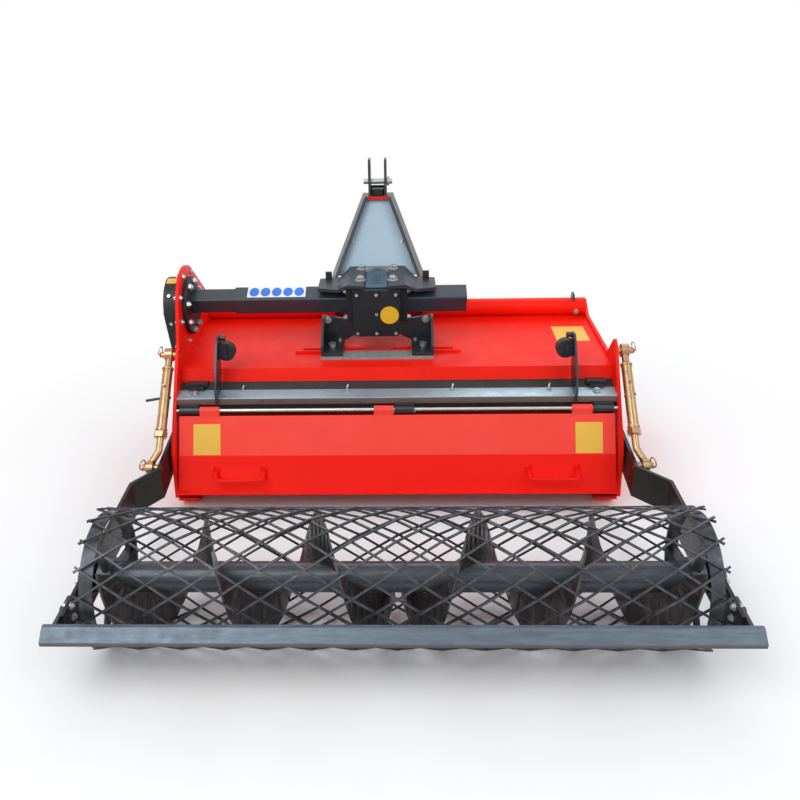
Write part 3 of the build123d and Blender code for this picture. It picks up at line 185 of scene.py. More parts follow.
CHROME = metal("rod_zinc", (0.66, 0.66, 0.63), (0.58, 0.58, 0.54), 0.3, 60.0, 0.8)
YELLOW_ZINC = metal("yellow_zinc", (0.46, 0.33, 0.15), (0.42, 0.22, 0.15), 0.24, 42.0, 0.92)
RUBBER = paint("rubber", (0.012, 0.012, 0.013), (0.022, 0.022, 0.024), 0.6, 0.0, 0.0, 500.0, 0.2)
PANEL = paint("grey_panel", (0.38, 0.51, 0.61), (0.35, 0.47, 0.57), 0.4, 0.1, 0.0, 500.0, 0.03)
STEEL = metal("bare_steel", (0.36, 0.36, 0.37), (0.22, 0.20, 0.19), 0.42, 30.0)
SCRAPER = metal("scraper_steel", (0.125, 0.165, 0.21), (0.090, 0.115, 0.145), 0.40, 14.0, 0.45, False,
                (1.0, 8.0, 8.0))
CAGE = metal("cage_steel", (0.085, 0.092, 0.105), (0.045, 0.046, 0.052), 0.36, 45.0, 0.6)
TUBE = metal("tube_steel", (0.085, 0.098, 0.115), (0.055, 0.062, 0.074), 0.30, 30.0, 0.6, False,
             (1.0, 6.0, 6.0))
FLIGHT = metal("flight_steel", (0.075, 0.068, 0.066), (0.040, 0.036, 0.036), 0.34, 26.0, 0.55)
YELLOW = paint("yellow_plate", (0.84, 0.47, 0.010), (0.78, 0.42, 0.010), 0.38, 0.2, 0.0, 500.0, 0.02)
LABEL = paint("yellow_label", (0.86, 0.50, 0.045), (0.82, 0.46, 0.040), 0.40, 0.2, 0.0, 500.0, 0.02)
WHITE = paint("white_strip", (0.82, 0.84, 0.86), (0.76, 0.78, 0.81), 0.38, 0.2, 0.0, 500.0, 0.02)
BLUE = paint("blue_disc", (0.010, 0.17, 0.72), (0.010, 0.15, 0.62), 0.36, 0.2, 0.0, 500.0, 0.02)


def shaded_by(mat, source, axis, low, high, colour):
    """Painted light and shade: blends colour over the paint where a coordinate, or the surface's direction,
    goes from low to high.
    """
    tree = mat.node_tree
    bsdf = tree.nodes["Principled BSDF"]
    old = bsdf.inputs["Base Color"].links[0].from_socket
    coord = tree.nodes.new("ShaderNodeTexCoord")
    parts = tree.nodes.new("ShaderNodeSeparateXYZ")
    tree.links.new(coord.outputs[source], parts.inputs[0])
    share = ramp(tree, parts.outputs[axis], low, high, 0.0, 1.0)
    node = tree.nodes.new("ShaderNodeMix")
    node.data_type = "RGBA"
    node.inputs[7].default_value = (*colour, 1.0)
    tree.links.new(share, node.inputs[0])
    tree.links.new(old, node.inputs[6])
    tree.links.new(node.outputs[2], bsdf.inputs["Base Color"])


# painted light: the flap is a pale pinkish red as a painted reflection, with its lower half in its deep red;
# the scraper's lower edge and the beam's rear face get a painted shade
shaded_by(FLAP_REFLECTED_RED, "Object", "Z", 0.172, 0.169, (0.95, 0.008, 0.002))
# painted shade: a brownish dark band along the scraper bar's lower edge, drawn as if it were the bar's
# underside
shaded_by(SCRAPER, "Object", "Z", 0.1675, 0.1640, (0.115, 0.085, 0.065))
# painted shade: galvanised faces that point to the rear, such as the beam's rear face, turn dark reddish
# brown
shaded_by(GALV, "Normal", "Y", -0.7, -0.95, (0.20, 0.125, 0.11))

BY_SLOT = {"red_paint": RED, "black_paint": BLACK, "cast_black": CAST, "galvanised": GALV, "zinc": ZINC,
           "yellow_zinc": YELLOW_ZINC, "rubber": RUBBER, "grey_panel": PANEL, "bare_steel": STEEL,
           "scraper_steel": SCRAPER, "cage_steel": CAGE}
BY_NODE = {"roller_arm_right": ARM, "roller_arm_left": ARM, "roller_hoops": CAGE, "roller_flights": FLIGHT,
           "roller_tube": TUBE, "flap": FLAP_REFLECTED_RED, "flap_handles": FLAP_REFLECTED_RED, "wings": WING,
           "rail_flange": CAST, "sleeve": SLEEVE, "rail": SLEEVE, "chain_case": CASE, "carrier_flat": FLAT,
           "hinge_rod": CHROME}

for part in frame["record"]["subparts"]:
    node = nodes[part["node"]]
    material = BY_NODE.get(part["node"]) or BY_SLOT[part["material_slot"]]
    node.data.materials.clear()
    node.data.materials.append(material)


# edges: welded corners, then a small round on the plates and bars

WELD_GAP = 0.00002
SHARPEST = math.radians(35)
# width of the round in mm, and the nodes that have it
SOFT_EDGES = {
    1.6: ("rear_beam",),
    1.5: ("roller_arm_right", "roller_arm_left", "wings", "mast", "carrier", "hitch_cheeks", "gearbox_cover",
          "gearbox", "chain_case"),
    1.2: ("scraper_bar", "top_link_ears", "flap_stops", "guide_rail", "skid_right", "skid_left",
          "rail_flange"),
    2.0: ("sleeve", "rail"),
    1.4: ("side_plate_right", "side_plate_left"),
    1.0: ("flap", "carrier_flat"),
    2.5: ("hitch_bar",),
    0.8: ("hood",),
}
for width, names in SOFT_EDGES.items():
    for name in names:
        weld = nodes[name].modifiers.new("weld", "WELD")
        weld.merge_threshold = WELD_GAP
        bevel = nodes[name].modifiers.new("bevel", "BEVEL")
        bevel.width = width * MM
        bevel.segments = 2
        bevel.limit_method = "ANGLE"
        bevel.angle_limit = SHARPEST
        flat = nodes[name].modifiers.new("normals", "WEIGHTED_NORMAL")
        flat.keep_sharp = False


# mesh tools

WASHER_T = 1.6
SCREW_END = 2.4


def piece(name, verts, faces, material, body, smooth=False):
    """A new object of the scene that rides on a body, with its material."""
    mesh = bpy.data.meshes.new(name)
    mesh.from_pydata([tuple(v) for v in verts], [], faces)
    mesh.validate()
    mesh.update()
    mesh.materials.append(material)
    for polygon in mesh.polygons:
        polygon.use_smooth = smooth
    obj = bpy.data.objects.new(name, mesh)
    scene.collection.objects.link(obj)
    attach(obj, body)
    return obj


class Build:
    """Gathers corners and faces of several like shapes into one piece."""

    def __init__(self):
        self.verts, self.faces = [], []

    def add(self, verts, faces):
        n = len(self.verts)
        self.verts += verts
        self.faces += [tuple(i + n for i in f) for f in faces]

    def join(self, low, high):
        """A closed shape between two outlines of as many corners each."""
        n = len(low)
        faces = [tuple(range(n - 1, -1, -1)), tuple(range(n, 2 * n))]
        faces += [(i, (i + 1) % n, n + (i + 1) % n, n + i) for i in range(n)]
        self.add(low + high, faces)

    def prism(self, centre, axis, radius, height, sides=6, turn=0.0, top=1.0):
        """A prism or a cone-ended pin that stands on centre and points along axis."""
        axis = Vector(axis).normalized()
        side = axis.orthogonal().normalized()
        other = axis.cross(side)
        low, high = [], []
        for i in range(sides):
            a = turn + 2 * math.pi * i / sides
            way = side * math.cos(a) + other * math.sin(a)
            low.append(centre + way * radius * MM)
            high.append(centre + axis * height * MM + way * radius * top * MM)
        self.join(low, high)

    def bolt(self, centre, axis, size=8.0, height=7.0):
        """Hexagon head on a washer, with the screw's end standing out."""
        axis = Vector(axis).normalized()
        self.prism(centre, axis, size * 1.45, WASHER_T, 20)
        self.prism(centre + axis * WASHER_T * MM, axis, size * 1.12, height, 6, 0.3, 0.94)
        self.prism(centre + axis * (height + WASHER_T) * MM, axis, size * 0.55, SCREW_END, 12)

    def tube(self, points, radius, sides=10):
        """A round bar along points."""
        rings = []
        for i, p in enumerate(points):
            ahead = points[min(i + 1, len(points) - 1)] - points[max(i - 1, 0)]
            ahead.normalize()
            if i == 0:
                side = ahead.orthogonal().normalized()
            side = (side - ahead * side.dot(ahead)).normalized()
            other = ahead.cross(side)
            rings.append([p + (side * math.cos(a) + other * math.sin(a)) * radius * MM
                          for a in (2 * math.pi * k / sides for k in range(sides))])
        verts = [v for ring in rings for v in ring]
        faces = [tuple(range(sides - 1, -1, -1)), tuple(range(len(verts) - sides, len(verts)))]
        for r in range(len(rings) - 1):
            for k in range(sides):
                a, b = r * sides + k, r * sides + (k + 1) % sides
                faces.append((a, b, b + sides, a + sides))
        self.add(verts, faces)

    def slab(self, corners, lift):
        """A flat plate from its corners, as thick as the vector lift."""
        self.join([Vector(c) for c in corners], [Vector(c) + lift for c in corners])

    def band(self, pairs, lift):
        """A bent strip from the pairs of corners along its length, as thick as the vector lift."""
        n = 2 * len(pairs)
        flat = [corner for pair in pairs for corner in pair]
        rim = list(range(0, n, 2)) + list(range(n - 1, 0, -2))
        faces = [(i, i + 1, i + 3, i + 2) for i in range(0, n - 2, 2)]
        faces += [tuple(n + k for k in reversed(face)) for face in faces]
        faces += [(a, b, n + b, n + a) for a, b in zip(rim, rim[1:] + rim[:1])]
        self.add(flat + [corner + lift for corner in flat], faces)

    def loop(self, centre, axis, radius, wire, sides=28):
        """A closed ring of round wire."""
        axis = Vector(axis).normalized()
        side = axis.orthogonal().normalized()
        other = axis.cross(side)
        n, verts, faces = 8, [], []
        for i in range(sides):
            a = 2 * math.pi * i / sides
            way = side * math.cos(a) + other * math.sin(a)
            for k in range(n):
                b = 2 * math.pi * k / n
                rim = way * (radius + wire * math.cos(b)) * MM + axis * wire * math.sin(b) * MM
                verts.append(centre + rim)
        for i in range(sides):
            for k in range(n):
                a, b = i * n + k, i * n + (k + 1) % n
                c, d = ((i + 1) % sides) * n + (k + 1) % n, ((i + 1) % sides) * n + k
                faces.append((a, b, c, d))
        self.add(verts, faces)

    def make(self, name, material, body, slot, smooth=False):
        return piece(name, self.verts, self.faces, material, body, smooth)


def rounded(cx, cy, half_x, half_y, r, steps=5):
    """Corners of a rounded rectangle as pairs."""
    pts = []
    for sx, sy, start in ((1, 1, 0), (-1, 1, 90), (-1, -1, 180), (1, -1, 270)):
        for i in range(steps + 1):
            a = math.radians(start + 90 * i / steps)
            pts.append((cx + sx * (half_x - r) + r * math.cos(a),
                        cy + sy * (half_y - r) + r * math.sin(a)))
    return pts


trees = {}    # the nodes' meshes as ray_cast needs them


def cast(node, start, way, more=()):
    """The nearest place and outward normal that a ray meets on a node, or None."""
    best = None
    for name in (node, *more):
        if name not in trees:
            mesh = nodes[name].data
            trees[name] = BVHTree.FromPolygons([v.co.copy() for v in mesh.vertices],
                                               [tuple(p.vertices) for p in mesh.polygons])
        point, normal, _, distance = trees[name].ray_cast(start, way)
        if point is not None and (best is None or distance < best[2]):
            best = (point, normal if normal.dot(way) < 0 else -normal, distance)
    return best and best[:2]


# blank plates and stripes

HEAD_X = -54.0                      # the headstock's middle
DRIVE_Y, DRIVE_Z = 890.0, 522.0     # the sleeve's axis
SLEEVE_TILT = math.radians(22.5)
SLEEVE_HALF = 30.5
INSIDE, OUTSIDE = 645.0, 655.0      # the side plates' faces
LOBE_Y, LOBE_Z = 886.0, 510.0
LOBE_BOLT_R, FLANGE_BOLT_R = 110.0, 76.0
BOSS_FACE_X, BOSS_HEAD = 631.0, 8.8
CASE_R, CASE_LABEL_X = 90.4, (-698, -668)
COVER_Y = 788.0
COVER_HEAD = 7.0
WING_TOP_Z, WING_LOW_Z = 597.0, 572.0
ROTOR_Y, ROTOR_Z = 950.0, 180.0
CASE_RAY_X, BEAM_RAY_Z, FLAP_RAY_Y = -900.0, 400.0, 400.0    # where rays on to these nodes start
LABEL_GAP = 0.2
STRIP_LIFT, STRIP_T, DISC_LIFT, DISC_T = 0.3, 0.4, 0.75, 0.3
DISC_STEP, DISC_HALF_X, DISC_HALF_Y = 35.0, 15.0, 19.5


def on_sleeve(x, s, lift=STRIP_LIFT):
    """A place on the sleeve's upper face: s runs from its middle up to its front edge."""
    run = Vector((0, math.cos(SLEEVE_TILT), math.sin(SLEEVE_TILT)))
    out = Vector((0, -math.sin(SLEEVE_TILT), math.cos(SLEEVE_TILT)))
    return at(x, DRIVE_Y, DRIVE_Z) + out * (SLEEVE_HALF + lift) * MM + run * s * MM


def label(name, material, body, slot, node, way, corners, thick=0.4):
    """A thin plate laid on a node: its corners are cast on to the node along way."""
    low, high = [], []
    for corner in corners:
        point, normal = cast(node, corner, way)
        low.append(point + normal * LABEL_GAP * MM)
        high.append(point + normal * (LABEL_GAP + thick) * MM)
    shape = Build()
    shape.join(low, high)
    return shape.make(name, material, body, slot)


sleeve_out = on_sleeve(0, 0, 1) - on_sleeve(0, 0, 0)
strip = Build()
strip.slab([on_sleeve(x, s) for x, s in ((-456, -20), (-275, -20), (-275, 27), (-456, 27))],
           sleeve_out * STRIP_T)
strip.make("sleeve_strip", WHITE, "headstock", "black_paint")

discs = Build()
for i in range(5):
    ring = [(math.cos(a), math.sin(a)) for a in (2 * math.pi * k / 32 for k in range(32))]
    centre = -435 + DISC_STEP * i
    discs.slab([on_sleeve(centre + DISC_HALF_X * c, 3.5 + DISC_HALF_Y * s, DISC_LIFT) for c, s in ring],
               sleeve_out * DISC_T)
discs.make("sleeve_discs", BLUE, "headstock", "black_paint")

disc = Build()
disc.prism(at(-15, COVER_Y - 0.2, 507.5), (0, -1, 0), 28.0, 0.6, 40)
disc.make("gearbox_disc", YELLOW, "headstock", "cast_black")

BACK, DOWN = Vector((0, 1, 0)), Vector((0, 0, -1))
# name, node, body, way of the cast, corners
for name, node, body, way, corners in (
        ("flap_label_left", "flap", "flap", BACK,
         [(x, FLAP_RAY_Y, z) for x, z in ((-595, 252), (-515, 252), (-515, 172.5), (-595, 172.5))]),
        ("flap_label_right", "flap", "flap", BACK,
         [(x, FLAP_RAY_Y, z) for x, z in ((523, 251), (601, 251), (601, 172.5), (523, 172.5))]),
        ("deck_label", "hood", "frame", DOWN,
         [(x, y, 480) for x, y in ((515, 1012), (619, 1012), (619, 893), (515, 893))])):
    label(name, LABEL, body, "red_paint", node, way, [at(*c) for c in corners])

case_label = Build()
arc = [math.radians(a) for a in (4, 10, 16, 22)]
case_label.band([[at(x, LOBE_Y - CASE_R * math.sin(a), LOBE_Z + CASE_R * math.cos(a))
                  for x in CASE_LABEL_X] for a in arc], mm(0, 0, 0.5))
case_label.make("case_label", LABEL, "frame", "black_paint")

# fasteners and small trim

zinc = Build()

# lobe: angle of each bolt round the drive tube, on the plate's inside
for angle in (52, 108, 148, 187, 242, 300):
    a = math.radians(angle)
    y, z = LOBE_Y + LOBE_BOLT_R * math.cos(a), LOBE_Z + LOBE_BOLT_R * math.sin(a)
    zinc.bolt(at(-INSIDE, y, z), (1, 0, 0), 6.5, 5)
    zinc.bolt(at(-OUTSIDE, y, z), (-1, 0, 0), 6.5, 5)
# rail's flange: a head over each boss
for i in range(8):
    a = math.radians(45 * i + 22.5)
    y, z = LOBE_Y + FLANGE_BOLT_R * math.cos(a), LOBE_Z + FLANGE_BOLT_R * math.sin(a)
    zinc.prism(at(-BOSS_FACE_X, y, z), (1, 0, 0), 10.2, BOSS_HEAD, 6, 0.3, 0.95)
    zinc.prism(at(-BOSS_FACE_X + BOSS_HEAD, y, z), (1, 0, 0), 5, 4, 12)
# chain case: screws round its rim
for y, z in ((796, 566), (800, 484), (813, 400), (832, 318), (850, 240), (984, 566), (1000, 484), (1010, 400),
             (1016, 318), (1022, 240)):
    side = -1 if y < 900 else 1
    point, normal = cast("chain_case", at(-684, y + side * 60, z), Vector((0, -side, 0)))
    zinc.prism(point, normal, 5.5, 4.5, 6)
# upper beam: studs with a nut
for x in (-453, -142, 169, 453):
    point, normal = cast("rear_beam", at(x, 652, BEAM_RAY_Z), DOWN)
    zinc.prism(point, (0, 0, 1), 6.5, 5, 6)
    zinc.tube([point + mm(*v) for v in ((0, 0, 4), (0, 0, 10), (1, 2, 14), (3, 6, 17))], 2.4, 8)
for x in (-594, 590):
    point, normal = cast("rear_beam", at(x, 640, BEAM_RAY_Z), DOWN)
    zinc.bolt(point, (0, 0, 1), 8.5, 6)
# front tube's end and arms' pivots
zinc.bolt(at(612, 1097, 392), (0, -1, -0.1), 7, 5)
for side in (-1, 1):
    zinc.bolt(at(side * (INSIDE - 0.1), 1062, 352), (-side, 0, 0), 7, 5)
# rotor's bearing outside the right plate, chain case's cover and plugs outside
for y, z in ((-40, 40), (40, 40), (-40, -40), (40, -40)):
    zinc.bolt(at(OUTSIDE, ROTOR_Y + y, ROTOR_Z + z), (1, 0, 0), 7, 6)
for y, z in ((886, 590), (812, 510), (960, 510), (840, 380), (975, 360), (892, 200), (1010, 200), (950, 122)):
    point, normal = cast("chain_case", at(CASE_RAY_X, y, z), Vector((1, 0, 0)))
    zinc.bolt(point, normal, 5.5, 4)
zinc.make("frame_bolts", ZINC, "frame", "zinc")

# chain case: round covers over the two wheels and a hexagon plug between them
caps = Build()
for y, z, r, t in ((LOBE_Y, LOBE_Z, 46, 6), (ROTOR_Y, ROTOR_Z, 38, 6), (918, 345, 13, 5)):
    point, normal = cast("chain_case", at(CASE_RAY_X, y, z), Vector((1, 0, 0)))
    caps.prism(point, normal, r, t, 40 if r > 20 else 6, 0, 0.94)
caps.make("case_caps", BLACK, "frame", "black_paint")

# headstock, carrier and its feet: place, way, size; then the panel's two bolts
head_zinc = Build()
for x, y, z, way, size in (
        (-211, 880, 458, (0, -1, 0), 8.5), (97, 880, 458, (0, -1, 0), 8.5),
        (-174, 872, 390, (0, 0, 1), 5.5), (64, 872, 390, (0, 0, 1), 5.5)):
    head_zinc.bolt(at(x, y, z), way, size, 6)
for x in (-140, 27):
    head_zinc.bolt(*cast("mast_panel", at(x, 952, 650), BACK), 6.0, 6)
# wings' four large bolts as washer, nut and screw's end; bolts of the gearbox's flanks and the hitch cheeks
WING_WASHER_T, WING_NUT_H = 1.8, 9.0
for side in (-1, 1):
    for y in (851, 960):
        place = at(HEAD_X + side * 49, y, WING_TOP_Z)
        head_zinc.prism(place, (0, 0, 1), 16, WING_WASHER_T, 20)
        head_zinc.prism(place + mm(0, 0, WING_WASHER_T), (0, 0, 1), 12.9, WING_NUT_H, 6, 0.2, 0.94)
        head_zinc.prism(place + mm(0, 0, WING_WASHER_T + WING_NUT_H), (0, 0, 1), 6, 3.4, 12)
    for y, z in ((848, 564), (848, 480), (932, 564), (932, 480)):
        head_zinc.bolt(at(HEAD_X + side * 93, y, z), (side, 0, 0), 7, 7)
        head_zinc.prism(at(HEAD_X + side * 71.5, y - 8, z), (side, 0, 0), 4, 1, 8)
    for y, z in ((1150, 440), (1216, 404), (990, 540)):
        found = cast("hitch_cheeks", at(HEAD_X + side * 220, y, z), Vector((-side, 0, 0)))
        head_zinc.bolt(*found, 7, 5)
# cover's bolts: a zinc socket in each head
for x, z in ((-112, 574), (-54, 574), (4, 574), (-54, 512.5), (-112, 451), (-54, 451), (4, 451)):
    head_zinc.prism(at(x, COVER_Y - COVER_HEAD, z), (0, -1, 0), 5.6, 1.4, 6, 0.4, 0.9)
# stored pin's end between the ears
head_zinc.prism(at(HEAD_X - 9, 1196, 783), (0, -1, 0.4), 6, 14, 12)
head_zinc.make("headstock_bolts", ZINC, "headstock", "zinc")

# holes in the wings' lower flats, drawn as black discs of painted shade
holes = Build()
for side in (-1, 1):
    holes.prism(at(HEAD_X + side * 114, 905, WING_LOW_Z - 1.2), (0, 0, 1), 6.5, 1.6, 20)
holes.make("wing_holes_painted_shade", RUBBER, "headstock", "black_paint")

# red paint on the headstock: strips under the ears and along the mast's right plate, two bolts under the web
EAR_FACE_Y, EAR_STRIP_X = 1168.9, 34.0
red_trim = Build()
red_trim.slab([at(HEAD_X + x, EAR_FACE_Y, z) for x, z in (
    (-EAR_STRIP_X, 765), (EAR_STRIP_X, 765), (EAR_STRIP_X, 774.5), (-EAR_STRIP_X, 774.5))],
    mm(0, -0.8, 0))
red_trim.slab([at(HEAD_X + x, y, z) for x, y, z in (
    (139.8, 980, 562), (141.8, 998, 562), (44.8, 1188, 770), (42.8, 1174, 770))], mm(1.2, 0, 0))
for x in (-105, -10):
    red_trim.bolt(at(x, 885, 412), (0, 0, -1), 7.5, 9)
red_trim.make("headstock_red_trim", RED, "headstock", "red_paint")

# gearbox casting: raised pad, rim and five ribs on the top in a lighter bluish black as a painted sheen,
# block between the ears
# z, middle of y, half sizes, corner, thickness
top_pad = Build()
for z, y, half_x, half_y, r, t in (
        (587, 880, 33, 76, 8, 3.5), (590.4, 880, 20, 44, 8, 1.2),
        *((591.5, 850 + 15 * i, 13, 3.5, 3, 1.2) for i in range(5))):
    top_pad.slab([at(px, py, z) for px, py in rounded(HEAD_X, y, half_x, half_y, r)], mm(0, 0, t))
top_pad.make("casting_top", CAST_TOP_SHEEN, "headstock", "cast_black")
cast_trim = Build()
cast_trim.slab([at(x, y, 775.2) for x, y in rounded(HEAD_X, 1192, 19, 13, 3)], mm(0, 0, 20))
cast_trim.make("casting_trim", CAST, "headstock", "cast_black")

# black clamps on the seal's ends, a tab on the front tube's end
clamps = Build()
for x0, x1 in ((-626, -563), (566, 622)):
    clamps.slab([at(x, y, 331) for x, y in ((x0, 668), (x1, 668), (x1, 690), (x0, 690))], mm(0, 0, 10))
    clamps.slab([at(x, y, 325) for x, y in ((x0 + 8, 655), (x1 - 8, 655), (x1 - 8, 684), (x0 + 8, 684))],
                mm(0, 0, 7))
clamps.slab([at(600, y, z) for y, z in ((1106, 427), (1146, 427), (1140, 447), (1114, 447))], mm(7, 0, 0))
clamps.make("seal_clamps", BLACK, "frame", "black_paint")

# weld under the front tube
weld_bead = Build()
weld_bead.slab([at(x, y, 371.8) for x, y in ((-640, 1120), (640, 1120), (640, 1130), (-640, 1130))],
               mm(0, 0, 2.2))
weld_bead.make("tube_weld", RED, "frame", "red_paint")

# flap: a lip behind the hinge rod, lower behind the knuckles, in very dark red as the painted shade under the
# rod
LIP_LOW, LIP_KNUCKLE, LIP_ROD = 252, 274, 280
lip = Build()
lip.slab([at(x, 603, z) for x, z in (
    (-636, LIP_LOW), (636, LIP_LOW), (636, LIP_KNUCKLE), (511, LIP_KNUCKLE), (511, LIP_ROD), (58.5, LIP_ROD),
    (58.5, LIP_KNUCKLE), (-3.5, LIP_KNUCKLE), (-3.5, LIP_ROD), (-515, LIP_ROD), (-515, LIP_KNUCKLE),
    (-636, LIP_KNUCKLE))], mm(0, 2, 0))
lip.make("flap_lip_painted_shade", SHADE_RED, "flap", "red_paint")

# flap's handles: a bent round bar on two small pads
handles = Build()
for x in (-454, 454):
    bar = [(-70, 512, 138), (-70, 488, 134), (-69, 476, 131), (-64, 467, 129), (-54, 463, 128)]
    bar += [(-dx, y, z) for dx, y, z in reversed(bar)]
    handles.tube([at(x + dx, y, z) for dx, y, z in bar], 6.0, 12)
    for dx in (-70, 70):
        point, normal = cast("flap", at(x + dx, FLAP_RAY_Y, 138), BACK)
        handles.prism(point, normal, 11, 2.5, 20)
handle_bars = handles.make("handle_bars", FLAP_REFLECTED_RED, "flap", "red_paint", True)
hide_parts("flap_handles")

# adjusters: tommy bar, grease nipple, collars, red pin ends, rings
UP, LOW = Vector((0, 707, 420)), Vector((0, 440, 190))      # the eyes
LINE = (LOW - UP).normalized()
BAR_AT, NIPPLE_AT, COLLARS_AT = 140, 108, (44, 236)         # from the upper eye along the barrel
NIPPLE_WAY = (0, -0.65, 0.76)
middle = UP + LINE * BAR_AT
side_in = cast("adjuster_barrel_right", at(600, middle.y, middle.z), Vector((1, 0, 0)))[0].x
side_out = cast("adjuster_barrel_right", at(800, middle.y, middle.z), Vector((-1, 0, 0)))[0].x
BARREL_X = (side_in + side_out) / 2 / MM
PIN_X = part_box("adjuster_upper_pins")[1].x / MM
LOW_PIN_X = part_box("adjuster_lower_pins")[1].x / MM
for side, name in ((1, "right"), (-1, "left")):
    bar = Build()
    inner, outer = (OUTSIDE + 5.5 - BARREL_X, 17) if side > 0 else (-56, 18)
    bar.tube([at(side * BARREL_X + x, middle.y + dy, middle.z + dz) for x, dy, dz in
              ((inner, 0, -8), (inner * 0.4, 0, -2), (outer, 0, 2))], 4.2, 10)
    bar.make(f"adjuster_bar_{name}", BLACK, f"adjuster_barrel_{name}", "black_paint", True)
    fit = Build()
    place = UP + LINE * NIPPLE_AT
    fit.prism(at(side * BARREL_X, place.y - 8, place.z + 10), NIPPLE_WAY, 4.2, 9, 6)
    fit.prism(at(side * BARREL_X, place.y - 13, place.z + 16), NIPPLE_WAY, 2.6, 7, 10)
    for share in COLLARS_AT:
        place = UP + LINE * share
        fit.prism(at(side * BARREL_X, place.y, place.z), LINE, 17.2, 6, 24)
    fit.make(f"adjuster_collars_{name}", YELLOW_ZINC, f"adjuster_barrel_{name}", "yellow_zinc", False)
pins, upper_rings, lower_rings = Build(), Build(), Build()
for side in (-1, 1):
    pins.prism(at(side * (PIN_X + 0.1), UP.y, UP.z), (side, 0, 0), 8.5, 5, 20, 0, 0.85)
    upper_rings.loop(at(side * (PIN_X + 2.5), UP.y, UP.z + 13), (side, 0.2, 0.2), 13, 1.9)
    lower_rings.loop(at(side * (LOW_PIN_X - 3), LOW.y - 6, LOW.z + 13), (side, 0.3, 0.1), 14, 2.0)
pins.make("adjuster_pin_ends", RED, "frame", "red_paint")
upper_rings.make("upper_rings", ZINC, "frame", "zinc", True)
lower_rings.make("lower_rings", YELLOW_ZINC, "roller_arms", "yellow_zinc", True)

# arms: bearing bolts and the scraper's bolts, on both faces
ARM_X, ROLLER_OFF_X, ARM_RAY = 732.0, 8.0, 60.0
arm_bolts = Build()
for side, node in ((-1, "roller_arm_left"), (1, "roller_arm_right")):
    for way in (-1, 1):
        for y, z in ((-40, 184), (40, 184), (-40, 146), (40, 146), (-120, 182), (-120, 152)):
            start = at(side * ARM_X + ROLLER_OFF_X + way * ARM_RAY, y, z)
            found = cast(node, start, Vector((-way, 0, 0)), ("roller_bearings",))
            if found:
                arm_bolts.bolt(*found, 6.5, 5)
arm_bolts.make("arm_bolts", ZINC, "roller_arms", "zinc")


# camera, from a fit to the machine's mirrored pairs of points

IMAGE_SIDE, SENSOR = 800.0, 36.0
FOCAL, CENTRE_X = 800.0, 374.0      # in pixels
PITCH, YAW, ROLL = math.radians(27.45), math.radians(2.27), math.radians(-1.49)
CAMERA_AT = at(21, -1466, 1392)
right = Vector((math.cos(YAW), math.sin(YAW), 0))
ahead_flat = Vector((-math.sin(YAW), math.cos(YAW), 0))
ahead = ahead_flat * math.cos(PITCH) + Vector((0, 0, -math.sin(PITCH)))
up = ahead_flat * math.sin(PITCH) + Vector((0, 0, math.cos(PITCH)))
cam_right = right * math.cos(ROLL) + up * math.sin(ROLL)
cam_up = up * math.cos(ROLL) - right * math.sin(ROLL)

camera_data = bpy.data.cameras.new("camera")
camera = bpy.data.objects.new("camera", camera_data)
scene.collection.objects.link(camera)
camera_data.sensor_width = SENSOR
camera_data.lens = SENSOR * FOCAL / IMAGE_SIDE
camera_data.shift_x = (IMAGE_SIDE / 2 - CENTRE_X) / IMAGE_SIDE
camera_data.clip_start = 0.05
camera.matrix_world = Matrix((
    (cam_right.x, cam_up.x, -ahead.x, CAMERA_AT.x),
    (cam_right.y, cam_up.y, -ahead.y, CAMERA_AT.y),
    (cam_right.z, cam_up.z, -ahead.z, CAMERA_AT.z),
    (0, 0, 0, 1)))
scene.camera = camera

# floor and light

FLOOR_HALF = 30.0
FADE_FROM, FADE_TO = 0.95, 1.7      # from the middle of the floor
WORLD_STRENGTH = 0.66
floor_mesh = bpy.data.meshes.new("floor")
corners = [(sx * FLOOR_HALF, sy * FLOOR_HALF, 0) for sx, sy in ((-1, -1), (1, -1), (1, 1), (-1, 1))]
floor_mesh.from_pydata(corners, [], [(0, 1, 2, 3)])
floor = bpy.data.objects.new("floor", floor_mesh)
scene.collection.objects.link(floor)


def seen_white(tree):
    """1 for rays from the camera, in mirrors and through glass."""
    path = tree.nodes.new("ShaderNodeLightPath")
    add = tree.nodes.new("ShaderNodeMath")
    add.operation = "ADD"
    add.use_clamp = True
    tree.links.new(path.outputs["Is Camera Ray"], add.inputs[0])
    more = tree.nodes.new("ShaderNodeMath")
    more.operation = "ADD"
    tree.links.new(path.outputs["Is Glossy Ray"], more.inputs[0])
    tree.links.new(path.outputs["Is Transmission Ray"], more.inputs[1])
    tree.links.new(more.outputs[0], add.inputs[1])
    return add.outputs[0]


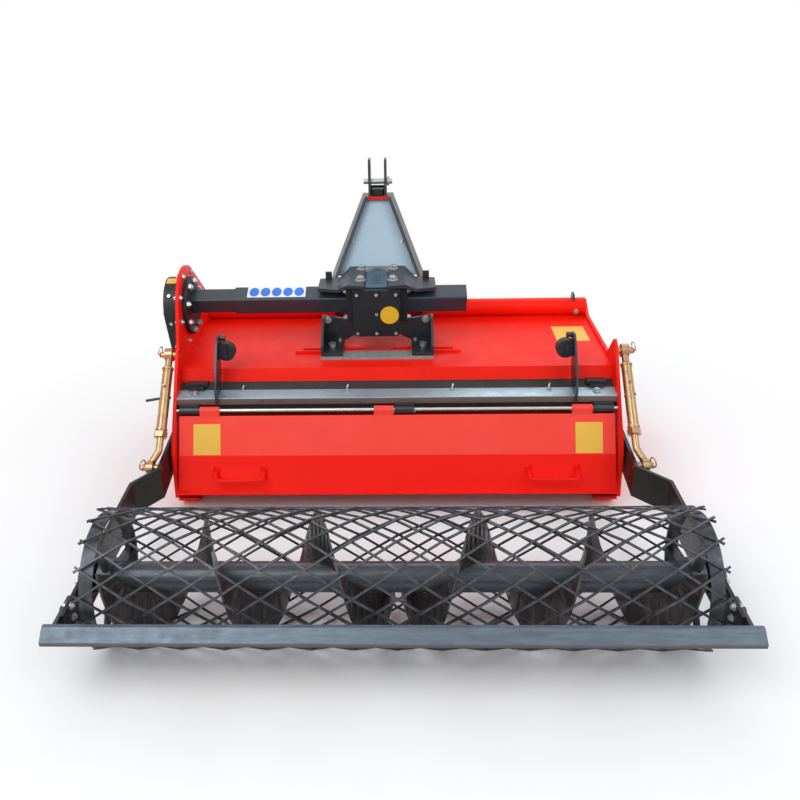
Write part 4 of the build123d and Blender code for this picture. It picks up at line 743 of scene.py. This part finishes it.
# pale floor, with the object's shadow, that runs out into the white background
floor_mat, tree, bsdf = shader("floor")
grain = ramp(tree, noise(tree, 3.0, 5.0), 0.3, 0.7, 0.0, 1.0)
tree.links.new(mix(tree, grain, (0.95, 0.95, 0.95), (0.93, 0.93, 0.935)), bsdf.inputs["Base Color"])
bsdf.inputs["Roughness"].default_value = 0.85
bsdf.inputs["Specular IOR Level"].default_value = 0.1
white = tree.nodes.new("ShaderNodeEmission")
spot = tree.nodes.new("ShaderNodeTexCoord")
length = tree.nodes.new("ShaderNodeVectorMath")
length.operation = "LENGTH"
tree.links.new(spot.outputs["Object"], length.inputs[0])
away = ramp(tree, length.outputs["Value"], FADE_FROM, FADE_TO, 0.0, 1.0)
share = tree.nodes.new("ShaderNodeMath")
share.operation = "MULTIPLY"
tree.links.new(away, share.inputs[0])
tree.links.new(seen_white(tree), share.inputs[1])
blend = tree.nodes.new("ShaderNodeMixShader")
tree.links.new(share.outputs[0], blend.inputs[0])
tree.links.new(bsdf.outputs[0], blend.inputs[1])
tree.links.new(white.outputs[0], blend.inputs[2])
tree.links.new(blend.outputs[0], tree.nodes["Material Output"].inputs[0])
floor_mesh.materials.append(floor_mat)

# world: a soft light on the object, plain white where it is seen
world = bpy.data.worlds.new("world")
scene.world = world
world.use_nodes = True
wt = world.node_tree
wt.nodes.clear()
w_out = wt.nodes.new("ShaderNodeOutputWorld")
soft = wt.nodes.new("ShaderNodeBackground")
soft.inputs["Color"].default_value = (0.93, 0.96, 1.0, 1.0)
soft.inputs["Strength"].default_value = WORLD_STRENGTH
plain = wt.nodes.new("ShaderNodeBackground")
plain.inputs["Color"].default_value = (1.0, 1.0, 1.0, 1.0)
plain.inputs["Strength"].default_value = 1.0
choose = wt.nodes.new("ShaderNodeMixShader")
wt.links.new(seen_white(wt), choose.inputs[0])
wt.links.new(soft.outputs[0], choose.inputs[1])
wt.links.new(plain.outputs[0], choose.inputs[2])
wt.links.new(choose.outputs[0], w_out.inputs[0])


def area(name, place, target, size, power, colour):
    """A soft lamp that points at target."""
    data = bpy.data.lights.new(name, "AREA")
    data.shape = "RECTANGLE"
    data.size, data.size_y = size
    data.energy = power
    data.color = colour
    obj = bpy.data.objects.new(name, data)
    scene.collection.objects.link(obj)
    obj.location = place
    obj.rotation_euler = (Vector(target) - Vector(place)).to_track_quat("-Z", "Y").to_euler()
    return obj


area("key", (-1.6, -1.9, 3.3), (0, 0, 0.3), (2.4, 2.4), 60.0, (1.0, 0.98, 0.95))
area("fill", (2.6, -1.4, 2.4), (0, 0, 0.3), (2.2, 2.2), 28.0, (0.94, 0.97, 1.0))
area("back", (0.3, 2.6, 2.8), (0, 0, 0.4), (3.0, 1.6), 26.0, (0.95, 0.98, 1.0))

scene.view_settings.view_transform = "Standard"
